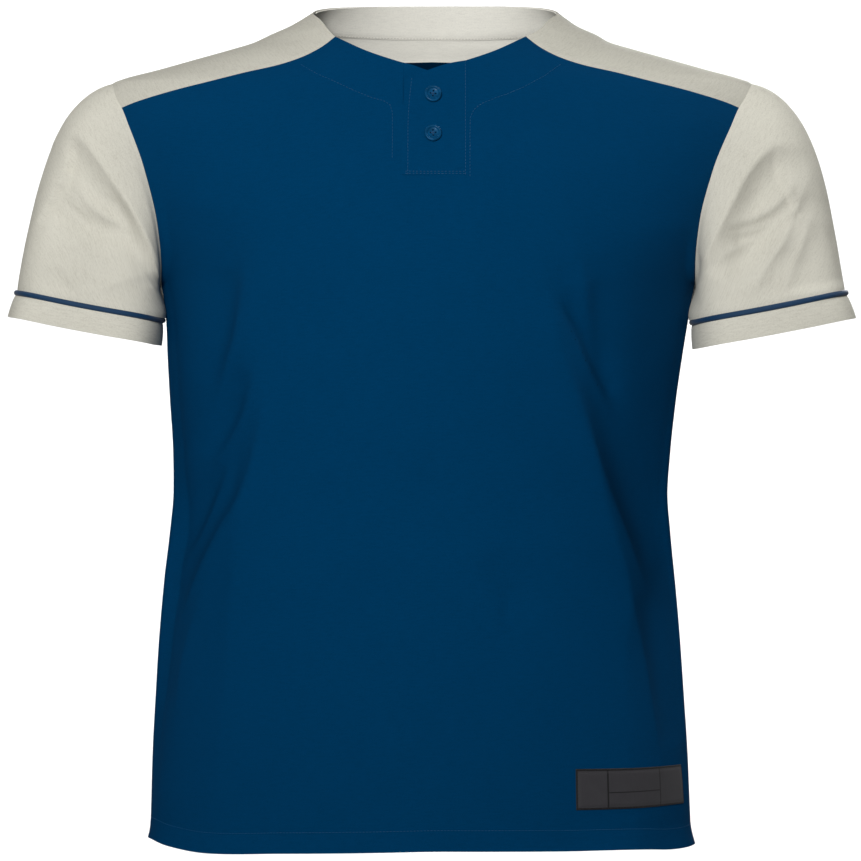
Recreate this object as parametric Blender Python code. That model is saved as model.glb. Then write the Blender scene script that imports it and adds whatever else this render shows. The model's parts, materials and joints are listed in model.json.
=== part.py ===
"""A two-button sports jersey in the hollow shape that it has when it is worn.

The wearer faces -Y, +X is the wearer's left and +Z is up. The origin is the middle of the neck opening, level
with the top of the shoulders, where the wearer's shoulders carry the cloth. Tables are in millimetres, and MM
turns them into metres.

Every panel of the body is cut from one form: level rings of different width, depth and roundness. The sleeves
are tubes from the armholes to the cuffs. Panels are walls of one thickness that end a seam's width apart.
"""

import math

import bpy
import mathutils
import numpy as np

MM = 0.001
CLOTH = 1.5 * MM
SEAM = 0.3 * MM
SIDES = {"left": 1.0, "right": -1.0}

# The form's rings, from above the neck down to the hem. shift is how far the ring's middle lies towards +X.
RING_COLUMNS = ("z", "half_width", "front_depth", "back_depth", "roundness", "shift")
RINGS = (
    (30.0, 76.0, 42.0, 44.0, 2.00, 5.5),
    (12.0, 93.0, 54.0, 57.0, 1.95, 5.5),
    (1.8, 105.6, 61.0, 63.0, 1.88, 4.7),
    (-5.0, 115.3, 66.0, 67.0, 1.84, 4.0),
    (-12.0, 126.7, 69.5, 71.0, 1.80, 3.2),
    (-19.0, 142.6, 73.0, 75.0, 1.78, 3.0),
    (-26.0, 156.5, 76.0, 78.0, 1.76, 1.5),
    (-33.0, 180.5, 79.0, 81.0, 1.75, 1.5),
    (-40.0, 206.5, 82.0, 84.0, 1.75, 1.5),
    (-50.0, 242.0, 86.0, 88.0, 1.76, 1.8),
    (-58.0, 271.5, 89.0, 91.0, 1.78, 2.0),
    (-62.0, 281.2, 90.5, 92.5, 1.80, 1.5),
    (-80.0, 292.0, 96.0, 98.0, 1.88, 0.0),
    (-103.0, 290.0, 102.0, 103.0, 2.00, -0.5),
    (-140.0, 277.0, 113.0, 112.0, 2.02, -1.5),
    (-183.0, 256.5, 121.0, 117.0, 2.03, -2.0),
    (-226.0, 238.0, 125.0, 117.5, 2.04, -2.0),
    (-238.0, 234.5, 125.5, 116.5, 2.04, -2.2),
    (-270.0, 229.5, 125.5, 114.0, 2.04, -3.0),
    (-300.0, 226.5, 124.5, 110.0, 2.04, -4.8),
    (-340.0, 222.6, 122.0, 104.5, 2.05, -6.6),
    (-385.0, 218.9, 118.5, 99.5, 2.05, -7.7),
    (-420.0, 217.6, 116.0, 98.0, 2.05, -8.8),
    (-455.0, 220.4, 114.5, 99.0, 2.05, -9.2),
    (-500.0, 225.3, 114.0, 102.5, 2.05, -9.7),
    (-550.0, 229.7, 114.5, 107.0, 2.05, -9.7),
    (-600.0, 233.0, 115.5, 111.0, 2.05, -9.5),
    (-650.0, 235.9, 116.5, 114.0, 2.06, -9.2),
    (-700.0, 237.6, 117.5, 116.0, 2.06, -8.8),
    (-713.0, 238.0, 118.0, 116.5, 2.06, -8.6),
    (-735.0, 243.0, 121.5, 120.0, 2.06, -8.3),
)

# The armhole, seen from the side: half an ellipse to the front and half a deeper one to the back.
ARMHOLE_TOP = -62.0 * MM
ARMPIT = -238.0 * MM
ARMHOLE_FRONT = 53.0 * MM
ARMHOLE_BACK = 56.0 * MM

# The neck edge from the front yoke seam over the shoulder to the middle of the back: angle round the form, height.
NECK_EDGE = ((36.0, -24.7), (45.0, -16.5), (61.0, -6.5), (90.0, 1.8), (120.0, 7.5), (147.0, 10.0), (180.0, 10.8))
# The front neck edge between the yokes: distance from the middle plane, height.
NECK_FRONT = ((0.0, -51.5), (22.8, -48.9), (31.1, -46.5), (55.0, -38.0), (82.3, -24.7))
NECK_CORNER_X = 82.3 * MM
# The yoke seams from the neck, or from the middle of the back, to the armhole: share of the way, height.
FRONT_SEAM = ((0.0, -24.7), (0.066, -34.3), (0.156, -43.0), (0.264, -49.6), (0.411, -55.6), (0.585, -63.5),
              (0.723, -69.5), (0.81, -73.7), (0.939, -80.6), (1.0, -84.8))
BACK_SEAM = ((0.0, -37.0), (0.2, -38.5), (0.4, -45.0), (0.6, -57.0), (0.8, -73.5), (1.0, -90.0))

# The placket's box in the front panel, and its two flaps. The upper flap laps over towards the wearer's right.
PLACKET_RIGHT = -23.4 * MM
PLACKET_LEFT = 31.1 * MM
PLACKET_BOTTOM = -145.8 * MM
FLAP_TOP = ((-23.1, -64.5), (-14.0, -59.5), (-2.6, -55.0), (16.3, -49.2), (31.1, -46.8))
STAND_TOP = ((-32.0, -46.9), (-23.0, -48.9), (-2.6, -55.0), (14.0, -59.0), (26.0, -62.0))
STAND_RIGHT = -32.0 * MM
STAND_LEFT = 26.0 * MM
STAND_BOTTOM = -139.0 * MM
FLAP_LIFT = 1.0 * MM
FLAP_CORNER_IN = 3.5 * MM
FLAP_CORNER_REACH = 45.0 * MM

# Buttons: 15 mm across with a raised rim and four thread holes.
BUTTON_RADIUS = 7.5 * MM
BUTTON_THICK = 2.6 * MM
BUTTON_DISH = 0.9 * MM
BUTTON_RIM = 1.9 * MM
BUTTON_HOLE_RADIUS = 0.8 * MM
BUTTON_HOLE_SPACING = 1.5 * MM
BUTTON_HEIGHTS = {"button_upper": -76.5 * MM, "button_lower": -110.5 * MM}
BUTTON_X = 2.2 * MM

# The woven tag by the hem: where its two ends lie across the front, and how high its edges are at each end.
TAG_RIGHT = 124.5 * MM
TAG_LEFT = 219.0 * MM
TAG_BOTTOM = {"right": -690.0 * MM, "left": -692.5 * MM}
TAG_TOP = {"right": -654.5 * MM, "left": -658.5 * MM}
TAG_THICK = 0.8 * MM

# The band that faces the back neck edge on the inside.
FACING_DEPTH = 33.0 * MM
FACING_THICK = 1.0 * MM
FACING_GAP = 0.5 * MM

# The hem's height at the side seams, and how much higher the front hangs across its width: x, height.
HEM = -727.0 * MM
HEM_RISE = ((-245.0, 3.0), (-232.0, 0.2), (-200.0, -2.5), (-140.0, 0.6), (0.0, 4.0), (140.0, 1.9), (190.0, -0.2),
            (215.0, -2.3), (235.0, -3.2), (245.0, -3.2))
HEM_RISE_REACH = 60.0 * MM

# Where each sleeve ends: the mouth above the piping and the hem of the cuff.
SLEEVE_END_COLUMNS = ("x", "z", "half_width", "half_depth", "tilt_degrees")
SLEEVE_MOUTH = {"right": (-298.5, -255.3, 64.6, 54.0, 10.8), "left": (296.2, -256.0, 68.0, 55.0, 11.0)}
CUFF_HEM = {"right": (-303.6, -279.0, 68.1, 57.0, 10.8), "left": (301.5, -281.2, 72.4, 58.0, 10.9)}
SLEEVE_ROUNDNESS = 2.4
SLEEVE_FORWARD = 8.0 * MM
# How the sleeve leaves the armhole, round from the top: angle, reach out, reach forward, drop.
SLEEVE_START = {
    "right": ((0, 182, 0, 44), (45, 150, 34, 62), (90, 62, 42, 70), (135, 36, 24, 48), (180, 14, 0, 24),
              (225, 36, -24, 48), (270, 62, -42, 70), (315, 150, -34, 62), (360, 182, 0, 44)),
    "left": ((0, 194, 0, 44), (45, 160, 34, 62), (90, 62, 42, 70), (135, 36, 24, 48), (180, 14, 0, 24),
             (225, 36, -24, 48), (270, 62, -42, 70), (315, 160, -34, 62), (360, 194, 0, 44)),
}
SLEEVE_END_PULL = 0.8
PIPING_SHARE = 0.19
PIPING_PROUD = 2.0 * MM

# Soft folds, as a curve from start by way of a bend to an end: face is 1 in front and -1 behind.
FOLD_COLUMNS = ("face", "x0", "z0", "xb", "zb", "x1", "z1", "width", "height")
BODY_FOLDS = (
    (1, -153, -232, -163, -300, -192, -366, 15, 3.5),
    (1, -141, -318, -158, -400, -212, -500, 16, 4.0),
    (1, -176, -392, -190, -450, -226, -520, 12, 2.5),
    (1, 93, -248, 122, -330, 190, -482, 17, 4.5),
    (1, 134, -226, 150, -310, 182, -392, 14, 4.0),
    (1, -178, -250, -190, -330, -210, -400, 14, -2.5),
    (1, 160, -330, 180, -410, 212, -500, 13, -2.5),
    (-1, -150, -190, -165, -300, -205, -400, 18, 4.0),
    (-1, 140, -200, 160, -300, 200, -410, 18, 4.0),
    (-1, -110, -400, 0, -425, 110, -400, 16, 3.0),
    (-1, -130, -455, 0, -478, 130, -452, 15, -2.5),
)
SLEEVE_FOLDS = {
    "right": (
        (1, -318, -112, -290, -128, -240, -222, 9, 3.5),
        (1, -316, -126, -296, -150, -246, -232, 10, -4.0),
        (1, -306, -150, -290, -185, -256, -206, 8, 2.2),
        (-1, -312, -118, -292, -150, -248, -214, 12, 3.0),
    ),
    "left": (
        (1, 308, -116, 280, -128, 240, -224, 9, 3.5),
        (1, 310, -132, 286, -150, 246, -234, 10, -4.0),
        (1, 306, -158, 290, -190, 254, -200, 8, 2.5),
        (1, 300, -186, 296, -225, 278, -246, 9, 2.0),
        (-1, 312, -118, 292, -150, 248, -214, 12, 3.0),
    ),
}
FOLD_SAMPLES = 24

# How finely the panels are divided.
N_YOKE = 10
N_NECK = 4
N_PLACKET = 4
N_BACK = 12
N_ARM_YOKE = 12
N_RISE_LOW = 5
N_RISE_HIGH = 6
N_SLEEVE = 14
N_CUFF = 2
N_FACING = 3
PLACKET_COLUMNS = (N_YOKE + N_NECK, N_YOKE + N_NECK + N_PLACKET)
BODY_ROWS = (HEM, -712.0 * MM, -692.0 * MM, -673.0 * MM, -652.0 * MM, -625.0 * MM, -597.0 * MM, -569.0 * MM,
             -541.0 * MM, -513.0 * MM, -485.0 * MM, -457.0 * MM, -430.0 * MM, -403.0 * MM, -376.0 * MM,
             -349.0 * MM, -322.0 * MM, -297.0 * MM, -274.0 * MM, -255.0 * MM)

COLOURS = {
    "navy_knit": ((0.001, 0.040, 0.115), 0.75),
    "stone_knit": ((0.57, 0.55, 0.48), 0.85),
    "button_plastic": ((0.010, 0.075, 0.165), 0.3),
    "tag_cloth": ((0.045, 0.045, 0.050), 0.8),
}


def smooth(points, at):
    """A smooth curve through a table of (place, value) points, read at the given places, with no overshoot."""
    table = np.array(sorted(points), float)
    places, values = table[:, 0], table[:, 1]
    step = np.diff(places)
    slope = np.diff(values) / step
    product = slope[:-1] * slope[1:]
    total = slope[:-1] + slope[1:]
    inner = np.where(product > 0, 2 * product / np.where(total == 0, 1, total), 0)
    tangent = np.concatenate([slope[:1], inner, slope[-1:]])
    at = np.clip(np.asarray(at, float), places[0], places[-1])
    i = np.clip(np.searchsorted(places, at) - 1, 0, len(step) - 1)
    t = (at - places[i]) / step[i]
    return (values[i] * (1 + 2 * t) * (1 - t) ** 2 + tangent[i] * step[i] * t * (1 - t) ** 2
            + values[i + 1] * t * t * (3 - 2 * t) + tangent[i + 1] * step[i] * t * t * (t - 1))


def ring(z):
    """Half width, front depth, back depth, roundness and shift of the form's ring at height z."""
    sizes = []
    for column, name in enumerate(RING_COLUMNS[1:], start=1):
        unit = 1.0 if name == "roundness" else MM
        sizes.append(smooth([(row[0], row[column]) for row in RINGS], z / MM) * unit)
    return sizes


def form_point(angle, z):
    """The form's point at an angle round from the middle of the front, 90 degrees being the left side."""
    half, front, back, power, shift = ring(z)
    s, c = np.sin(angle), np.cos(angle)
    depth = np.where(c > 0, front, back)
    x = shift + half * np.sign(s) * np.abs(s) ** (2 / power)
    y = -depth * np.sign(c) * np.abs(c) ** (2 / power)
    return np.stack(np.broadcast_arrays(x, y, z), axis=-1)


def form_angle(x, z):
    """The angle, in front, at which the form's ring at height z has the given x."""
    half, _, _, power, shift = ring(z)
    share = np.clip(np.abs(x - shift) / half, 0, 1)
    return np.sign(x - shift) * np.arcsin(share ** (power / 2))


def form_level(x, y, z):
    """Below 1 inside the form and above 1 outside it."""
    half, front, back, power, shift = ring(z)
    depth = np.where(y < 0, front, back)
    return (np.abs(x - shift) / half) ** power + (np.abs(y) / depth) ** power


def form_normal(points):
    """The form's outward normals at points on it."""
    step = 0.2 * MM
    x, y, z = points[..., 0], points[..., 1], points[..., 2]
    gradient = np.stack([
        form_level(x + step, y, z) - form_level(x - step, y, z),
        form_level(x, y + step, z) - form_level(x, y - step, z),
        form_level(x, y, z + step) - form_level(x, y, z - step),
    ], axis=-1)
    return gradient / np.linalg.norm(gradient, axis=-1, keepdims=True)


def shoulder_point(plan):
    """The point on top of the form above each point (x, y) of the plan, found by halving the height's range."""
    x, y = plan[..., 0], plan[..., 1]
    low = np.full(x.shape, -125.0 * MM)
    high = np.full(x.shape, 29.0 * MM)
    for _ in range(40):
        middle = (low + high) / 2
        inside = form_level(x, y, middle) < 1
        low = np.where(inside, middle, low)
        high = np.where(inside, high, middle)
    return np.stack([x, y, low], axis=-1)


def armhole_point(side, turn):
    """The armhole's point at an angle round from its top: 90 degrees is its front and 180 degrees the armpit."""
    middle, radius = (ARMHOLE_TOP + ARMPIT) / 2, (ARMHOLE_TOP - ARMPIT) / 2
    z = middle + radius * np.cos(turn)
    y = -np.sin(turn) * np.where(np.sin(turn) > 0, ARMHOLE_FRONT, ARMHOLE_BACK)
    half, front, back, power, shift = ring(z)
    depth = np.where(y < 0, front, back)
    x = shift + side * half * (1 - (np.abs(y) / depth) ** power) ** (1 / power)
    return np.stack([x, y, z], axis=-1)


def armhole_turn(z):
    """The angle round the armhole, towards the front, at which it has height z."""
    middle, radius = (ARMHOLE_TOP + ARMPIT) / 2, (ARMHOLE_TOP - ARMPIT) / 2
    return math.acos(max(-1.0, min(1.0, (z - middle) / radius)))


def fold_height(points, outward, folds):
    """How far the soft folds lift each point, each fold fading towards its ends."""
    height = np.zeros(points.shape[:-1])
    for row in folds:
        fold = dict(zip(FOLD_COLUMNS, row))
        start = np.array([fold["x0"], fold["z0"]]) * MM
        bend = np.array([fold["xb"], fold["zb"]]) * MM
        end = np.array([fold["x1"], fold["z1"]]) * MM
        nearest = np.full(height.shape, 1e9)
        along = np.zeros(height.shape)
        for t in np.linspace(0, 1, FOLD_SAMPLES):
            place = start * (1 - t) ** 2 + bend * 2 * t * (1 - t) + end * t * t
            distance = np.hypot(points[..., 0] - place[0], points[..., 2] - place[1])
            along = np.where(distance < nearest, t, along)
            nearest = np.minimum(distance, nearest)
        facing = np.clip(-fold["face"] * outward[..., 1] * 3, 0, 1)
        fade = np.sin(math.pi * np.clip(along, 0.02, 0.98)) ** 0.7
        height += fold["height"] * MM * fade * facing * np.exp(-((nearest / (fold["width"] * MM)) ** 2))
    return height


def folded(points, outward, folds):
    return points + outward * fold_height(points, outward, folds)[..., None]


def grid_normals(grid, closed):
    """Normals of a grid of points, taken from its neighbours, to the left of its columns and rows."""
    if closed:
        ring_before, ring_after = np.roll(grid, 1, axis=1), np.roll(grid, -1, axis=1)
        across = ring_after - ring_before
    else:
        across = np.gradient(grid, axis=1)
    normal = np.cross(across, np.gradient(grid, axis=0))
    return normal / np.linalg.norm(normal, axis=-1, keepdims=True)


def drawn_in(grid, edges):
    """The grid with the named edges drawn in by half a seam's width, so that the next panel stands clear."""
    grid = grid.copy()
    pairs = {"first_row": ((0,), (1,)), "last_row": ((-1,), (-2,)),
             "first_column": ((slice(None), 0), (slice(None), 1)),
             "last_column": ((slice(None), -1), (slice(None), -2))}
    for edge in edges:
        place, neighbour = pairs[edge]
        way = grid[neighbour] - grid[place]
        grid[place] += way / np.linalg.norm(way, axis=-1, keepdims=True) * SEAM * 0.6
    return grid


def material_of(name):
    found = bpy.data.materials.get(name)
    if found:
        return found
    colour, roughness = COLOURS[name]
    made = bpy.data.materials.new(name)
    made.use_nodes = True
    shader = made.node_tree.nodes["Principled BSDF"]
    shader.inputs["Base Color"].default_value = (*colour, 1.0)
    shader.inputs["Roughness"].default_value = roughness
    return made


def add_object(name, points, faces, material):
    mesh = bpy.data.meshes.new(name)
    mesh.from_pydata([tuple(p) for p in points], [], faces)
    mesh.update()
    made = bpy.data.objects.new(name, mesh)
    bpy.context.scene.collection.objects.link(made)
    made.data.materials.append(material_of(material))
    return made


def outward_faces(points, faces):
    """The faces, all turned round if the closed body that they make is inside out."""
    volume = 0.0
    for face in faces:
        a = points[face[0]]
        for b, c in zip(face[1:-1], face[2:]):
            volume += np.dot(a, np.cross(points[b], points[c]))
    return faces if volume > 0 else [face[::-1] for face in faces]


def wall(name, outer, outward, material, thickness=CLOTH, closed=False, missing=()):
    """A cloth wall as one closed solid: the outer grid, an inner grid behind it, and the rims between them.
    missing holds the (row, column) cells that are left open."""
    rows, columns = outer.shape[:2]
    inner = outer - outward * thickness
    points = np.concatenate([outer.reshape(-1, 3), inner.reshape(-1, 3)])
    behind = rows * columns
    cells = columns if closed else columns - 1
    faces, edges = [], {}
    for r in range(rows - 1):
        for c in range(cells):
            if (r, c) in missing:
                continue
            after = (c + 1) % columns
            corners = [r * columns + c, r * columns + after, (r + 1) * columns + after, (r + 1) * columns + c]
            faces.append(corners)
            faces.append([behind + k for k in reversed(corners)])
            for a, b in zip(corners, corners[1:] + corners[:1]):
                if (b, a) in edges:
                    del edges[(b, a)]
                else:
                    edges[(a, b)] = True
    for a, b in edges:
        faces.append([b, a, behind + a, behind + b])
    used = sorted({k for face in faces for k in face})
    renumber = {k: i for i, k in enumerate(used)}
    points = points[used]
    faces = outward_faces(points, [[renumber[k] for k in face] for face in faces])
    made = add_object(name, points, faces, material)
    made.data.shade_smooth()
    made.data.set_sharp_from_angle(angle=math.radians(50))
    return made


def seam_heights(table, count):
    """Heights at equal shares of the way along a seam."""
    return smooth(table, np.linspace(0, 1, count + 1)) * MM


def front_seam(side):
    """The front yoke seam's points from the neck corner to the armhole."""
    shares = np.linspace(0, 1, N_YOKE + 1)
    heights = seam_heights(FRONT_SEAM, N_YOKE)
    end = armhole_point(side, armhole_turn(heights[-1]))
    x = side * (NECK_CORNER_X + (abs(end[0]) - NECK_CORNER_X) * shares)
    points = form_point(form_angle(x, heights), heights)
    points[-1] = end
    return points


def back_seam(side):
    """The back yoke seam's points from the middle of the back to the armhole."""
    shares = np.linspace(0, 1, N_BACK + 1)
    heights = seam_heights(BACK_SEAM, N_BACK)
    end = armhole_point(side, -armhole_turn(heights[-1]))
    shift = ring(heights)[4]
    x = shift + side * abs(end[0] - shift[-1]) * shares
    points = form_point(math.pi - form_angle(x, heights), heights)
    points[-1] = end
    return points


def neck_edge(side, count):
    """The neck edge's points from the front yoke seam to the middle of the back."""
    corner_z = NECK_EDGE[0][1] * MM
    corner = abs(math.degrees(float(form_angle(side * NECK_CORNER_X, corner_z))))
    angles = np.linspace(corner, 180.0, count + 1)
    table = ((corner, NECK_EDGE[0][1]), *NECK_EDGE[1:])
    return form_point(side * np.radians(angles), smooth(table, angles) * MM)


def filled_plan(first_column, last_column, first_row, last_row):
    """Points in plan that fill the space between four edges, by blending opposite edges."""
    s = np.linspace(0, 1, len(first_row))[None, :, None]
    w = np.linspace(0, 1, len(first_column))[:, None, None]
    between_rows = (1 - w) * first_row[None] + w * last_row[None]
    between_columns = (1 - s) * first_column[:, None] + s * last_column[:, None]
    corners = ((1 - w) * ((1 - s) * first_row[0] + s * first_row[-1])
               + w * ((1 - s) * last_row[0] + s * last_row[-1]))
    return between_rows + between_columns - corners


def yoke_turns():
    """Angles round the armhole from the front yoke seam over the top to the back yoke seam."""
    front = armhole_turn(FRONT_SEAM[-1][1] * MM)
    back = armhole_turn(BACK_SEAM[-1][1] * MM)
    return np.linspace(front, -back, N_ARM_YOKE + 1)


def yoke_grid(side):
    """Rows run from the neck edge outwards, columns from the front seam round to the middle of the back."""
    columns = N_ARM_YOKE + N_BACK
    neck = neck_edge(side, columns)
    outer = np.concatenate([armhole_point(side, yoke_turns()), back_seam(side)[::-1][1:]])
    front = front_seam(side)
    middle_back = np.linspace(neck[-1], outer[-1], N_YOKE + 1)
    plan = filled_plan(front[:, :2], middle_back[:, :2], neck[:, :2], outer[:, :2])
    grid = shoulder_point(plan)
    grid[:, 0], grid[0], grid[-1] = front, neck, outer
    return grid


def rise_shares():
    """Shares of the way up from the armpit to the yoke seam, with a row on the placket's bottom edge."""
    top = NECK_FRONT[1][1] * MM
    placket = (PLACKET_BOTTOM - ARMPIT) / (top - ARMPIT)
    low = np.linspace(0, 1, N_RISE_LOW + 1) ** 1.5 * placket
    return np.concatenate([low, np.linspace(placket, 1, N_RISE_HIGH + 1)[1:]])


def side_turns(front):
    """Angles round the armhole from the armpit up to the front, or the back, yoke seam."""
    corner = (FRONT_SEAM if front else BACK_SEAM)[-1][1] * MM
    heights = ARMPIT + (corner - ARMPIT) * rise_shares()
    turns = np.array([armhole_turn(z) for z in heights])
    return turns if front else -turns


def body_grid(top, front):
    """A body panel's points: level rows up to the armpits, then rows that bend into the panel's top edge."""
    count = len(top) - 1
    share = np.linspace(-1, 1, count + 1)
    start = 0.0 if front else math.pi
    way = 1.0 if front else -1.0
    across = form_point(share * math.pi / 2, HEM)[:, 0]
    rise = smooth(HEM_RISE, across / MM) * MM
    rows = []
    for z in BODY_ROWS:
        height = z + rise * max(0.0, 1 - (z - HEM) / HEM_RISE_REACH)
        angle = share * math.pi / 2
        if front:
            angle = beside_placket(angle, height)
        rows.append(form_point(start + way * angle, height))
    turns = side_turns(front)
    edges = {side: armhole_point(side, turns) for side in SIDES.values()}
    for i, (f, left, right) in enumerate(zip(rise_shares(), edges[1.0], edges[-1.0])):
        edge_angle = float(form_angle(left[0], left[2]))
        z = left[2] + (top[:, 2] - np.interp(share, [-1, 1], [top[0, 2], top[-1, 2]])) * f
        reach = np.where(share < 0, right[0] / top[0, 0], left[0] / top[-1, 0])
        angle = (1 - f) * share * edge_angle + f * form_angle(top[:, 0] * reach, z)
        if front:
            if i == N_RISE_LOW:
                z[PLACKET_COLUMNS[0]:PLACKET_COLUMNS[1] + 1] = PLACKET_BOTTOM
            angle = beside_placket(angle, z)
        row = form_point(start + way * angle, z)
        row[0], row[-1] = right, left
        rows.append(row)
    rows[-1][:] = top
    return np.array(rows)


def beside_placket(angle, z):
    """The angles of a row of the front panel, moved so that two of its columns run straight beside the placket."""
    first, last = PLACKET_COLUMNS
    right = float(form_angle(PLACKET_RIGHT, z[first]))
    left = float(form_angle(PLACKET_LEFT, z[last]))
    places = [angle[0], angle[first], angle[last], angle[-1]]
    return np.interp(angle, places, [angle[0], right, left, angle[-1]])


def neck_front_points(x):
    """Points of the front neck edge between the yokes."""
    z = smooth(NECK_FRONT, np.abs(x) / MM) * MM
    return form_point(form_angle(x, z), z)


def front_top():
    """The front panel's top edge from the wearer's right armhole to the left one, level across the placket."""
    right, left = front_seam(-1.0)[::-1], front_seam(1.0)
    right_neck = neck_front_points(np.linspace(-NECK_CORNER_X, PLACKET_RIGHT, N_NECK + 1)[1:])
    left_neck = neck_front_points(np.linspace(PLACKET_LEFT, NECK_CORNER_X, N_NECK + 1)[:-1])
    across = np.linspace(PLACKET_RIGHT, PLACKET_LEFT, N_PLACKET + 1)[1:-1]
    heights = np.interp(across, [PLACKET_RIGHT, PLACKET_LEFT], [right_neck[-1, 2], left_neck[0, 2]])
    middle = form_point(form_angle(across, heights), heights)
    return np.concatenate([right, right_neck, middle, left_neck, left])


def build_front():
    grid = body_grid(front_top(), True)
    bottom_row = len(BODY_ROWS) + N_RISE_LOW
    missing = {(r, c) for r in range(bottom_row, grid.shape[0] - 1) for c in range(*PLACKET_COLUMNS)}
    outward = form_normal(grid)
    grid = folded(grid, outward, BODY_FOLDS)
    edged = drawn_in(grid, ("last_row", "first_column", "last_column"))
    wall("front_body", edged, outward, "navy_knit", missing=missing)
    return grid, outward


def build_back():
    right, left = back_seam(-1.0)[::-1], back_seam(1.0)
    grid = body_grid(np.concatenate([right, left[1:]]), False)
    outward = form_normal(grid)
    grid = folded(grid, outward, BODY_FOLDS)
    edged = drawn_in(grid, ("last_row", "first_column", "last_column"))
    wall("back_body", edged, outward, "navy_knit")


def build_yoke(side_name):
    grid = yoke_grid(SIDES[side_name])
    outward = form_normal(grid)
    edged = drawn_in(grid, ("last_row", "first_column", "last_column"))
    wall(f"yoke_{side_name}", edged, outward, "stone_knit")


def neck_band_grid(depth_shares):
    """Points of the back neck from shoulder to shoulder, and down from the edge by shares of the facing's depth."""
    columns = N_ARM_YOKE + N_BACK
    right, left = neck_edge(-1.0, columns), neck_edge(1.0, columns)
    behind = right[:, 1] > 0
    edge = np.concatenate([right[behind], left[left[:, 1] > 0][::-1][1:]])
    rows = [edge]
    for _ in depth_shares[1:]:
        above = rows[-1]
        outward = form_normal(above)
        along = np.gradient(above, axis=0)
        down = np.cross(outward, along)
        down *= np.sign(-down[:, 2:3])
        down /= np.linalg.norm(down, axis=-1, keepdims=True)
        guess = above + down * FACING_DEPTH / (len(depth_shares) - 1)
        rows.append(shoulder_point(guess[:, :2]))
    return np.array(rows)


def build_facing():
    grid = neck_band_grid(np.linspace(0, 1, N_FACING + 1))
    outward = form_normal(grid)
    wall("back_neck_facing", grid - outward * (CLOTH + FACING_GAP), outward, "stone_knit", FACING_THICK)


def flap_grid(x_right, x_left, bottom, top_table, columns, rows):
    """A flap of the placket on the form: straight sides, and a top edge read from a table."""
    x = np.linspace(x_right, x_left, columns + 1)
    top = smooth(top_table, x / MM) * MM
    share = np.linspace(0, 1, rows + 1)[:, None]
    z = bottom + (top[None] - bottom) * share
    return form_point(form_angle(np.broadcast_to(x, z.shape), z), z)


def build_placket():
    flap = flap_grid(PLACKET_RIGHT + SEAM, PLACKET_LEFT - SEAM, PLACKET_BOTTOM + SEAM, FLAP_TOP, 6, 9)
    near_top = np.clip(1 - (flap[-1, 0, 2] - flap[..., 2]) / FLAP_CORNER_REACH, 0, 1)
    free = (PLACKET_LEFT - flap[..., 0]) / (PLACKET_LEFT - PLACKET_RIGHT)
    x = flap[..., 0] + FLAP_CORNER_IN * free * near_top ** 2
    flap = form_point(form_angle(x, flap[..., 2]), flap[..., 2])
    outward = form_normal(flap)
    lift = np.linspace(1, 0, flap.shape[1]) ** 2
    flap = flap + outward * (FLAP_LIFT * lift)[None, :, None]
    wall("placket_flap", flap, outward, "navy_knit")
    stand = flap_grid(STAND_RIGHT, STAND_LEFT, STAND_BOTTOM, STAND_TOP, 6, 9)
    outward = form_normal(stand)
    wall("placket_stand", stand - outward * (CLOTH + 2 * SEAM), outward, "navy_knit")


def build_button(name, z):
    """A turned disc with a raised rim, cut by four thread holes, standing on the flap."""
    x = np.array(BUTTON_X)
    seat = form_point(form_angle(x, z), z)
    outward = form_normal(seat)
    share = (PLACKET_LEFT - BUTTON_X) / (PLACKET_LEFT - PLACKET_RIGHT)
    seat = seat + outward * (FLAP_LIFT * share ** 2 + 2 * SEAM)
    profile = ((0.0, 0.0), (0.80, 0.0), (1.0, 0.35), (0.97, 0.80), (0.88, 1.0),
               (1 - BUTTON_RIM / BUTTON_RADIUS, 1 - BUTTON_DISH / BUTTON_THICK), (0.0, 1 - BUTTON_DISH / BUTTON_THICK))
    segments = 24
    points, faces = [(0.0, 0.0, 0.0)], []
    for radius, height in profile[1:-1]:
        for k in range(segments):
            turn = 2 * math.pi * k / segments
            points.append((radius * BUTTON_RADIUS * math.cos(turn), radius * BUTTON_RADIUS * math.sin(turn),
                           height * BUTTON_THICK))
    points.append((0.0, 0.0, profile[-1][1] * BUTTON_THICK))
    rings = len(profile) - 2
    for k in range(segments):
        after = (k + 1) % segments
        faces.append([0, 1 + after, 1 + k])
        for r in range(rings - 1):
            low, high = 1 + r * segments, 1 + (r + 1) * segments
            faces.append([low + k, low + after, high + after, high + k])
        last = 1 + (rings - 1) * segments
        faces.append([last + k, last + after, len(points) - 1])
    button = add_object(name, np.array(points), outward_faces(np.array(points), faces), "button_plastic")
    cutter = button_holes(f"{name}_holes")
    up = np.array([0.0, 0.0, 1.0])
    across = np.cross(up, outward)
    across /= np.linalg.norm(across)
    upright = np.cross(outward, across)
    for thing in (button, cutter):
        matrix = np.eye(4)
        matrix[:3, 0], matrix[:3, 1], matrix[:3, 2], matrix[:3, 3] = across, upright, outward, seat
        thing.matrix_world = mathutils.Matrix(matrix.tolist())
    cut = button.modifiers.new("thread_holes", "BOOLEAN")
    cut.object = cutter
    cut.operation = "DIFFERENCE"
    cut.solver = "EXACT"


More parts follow.
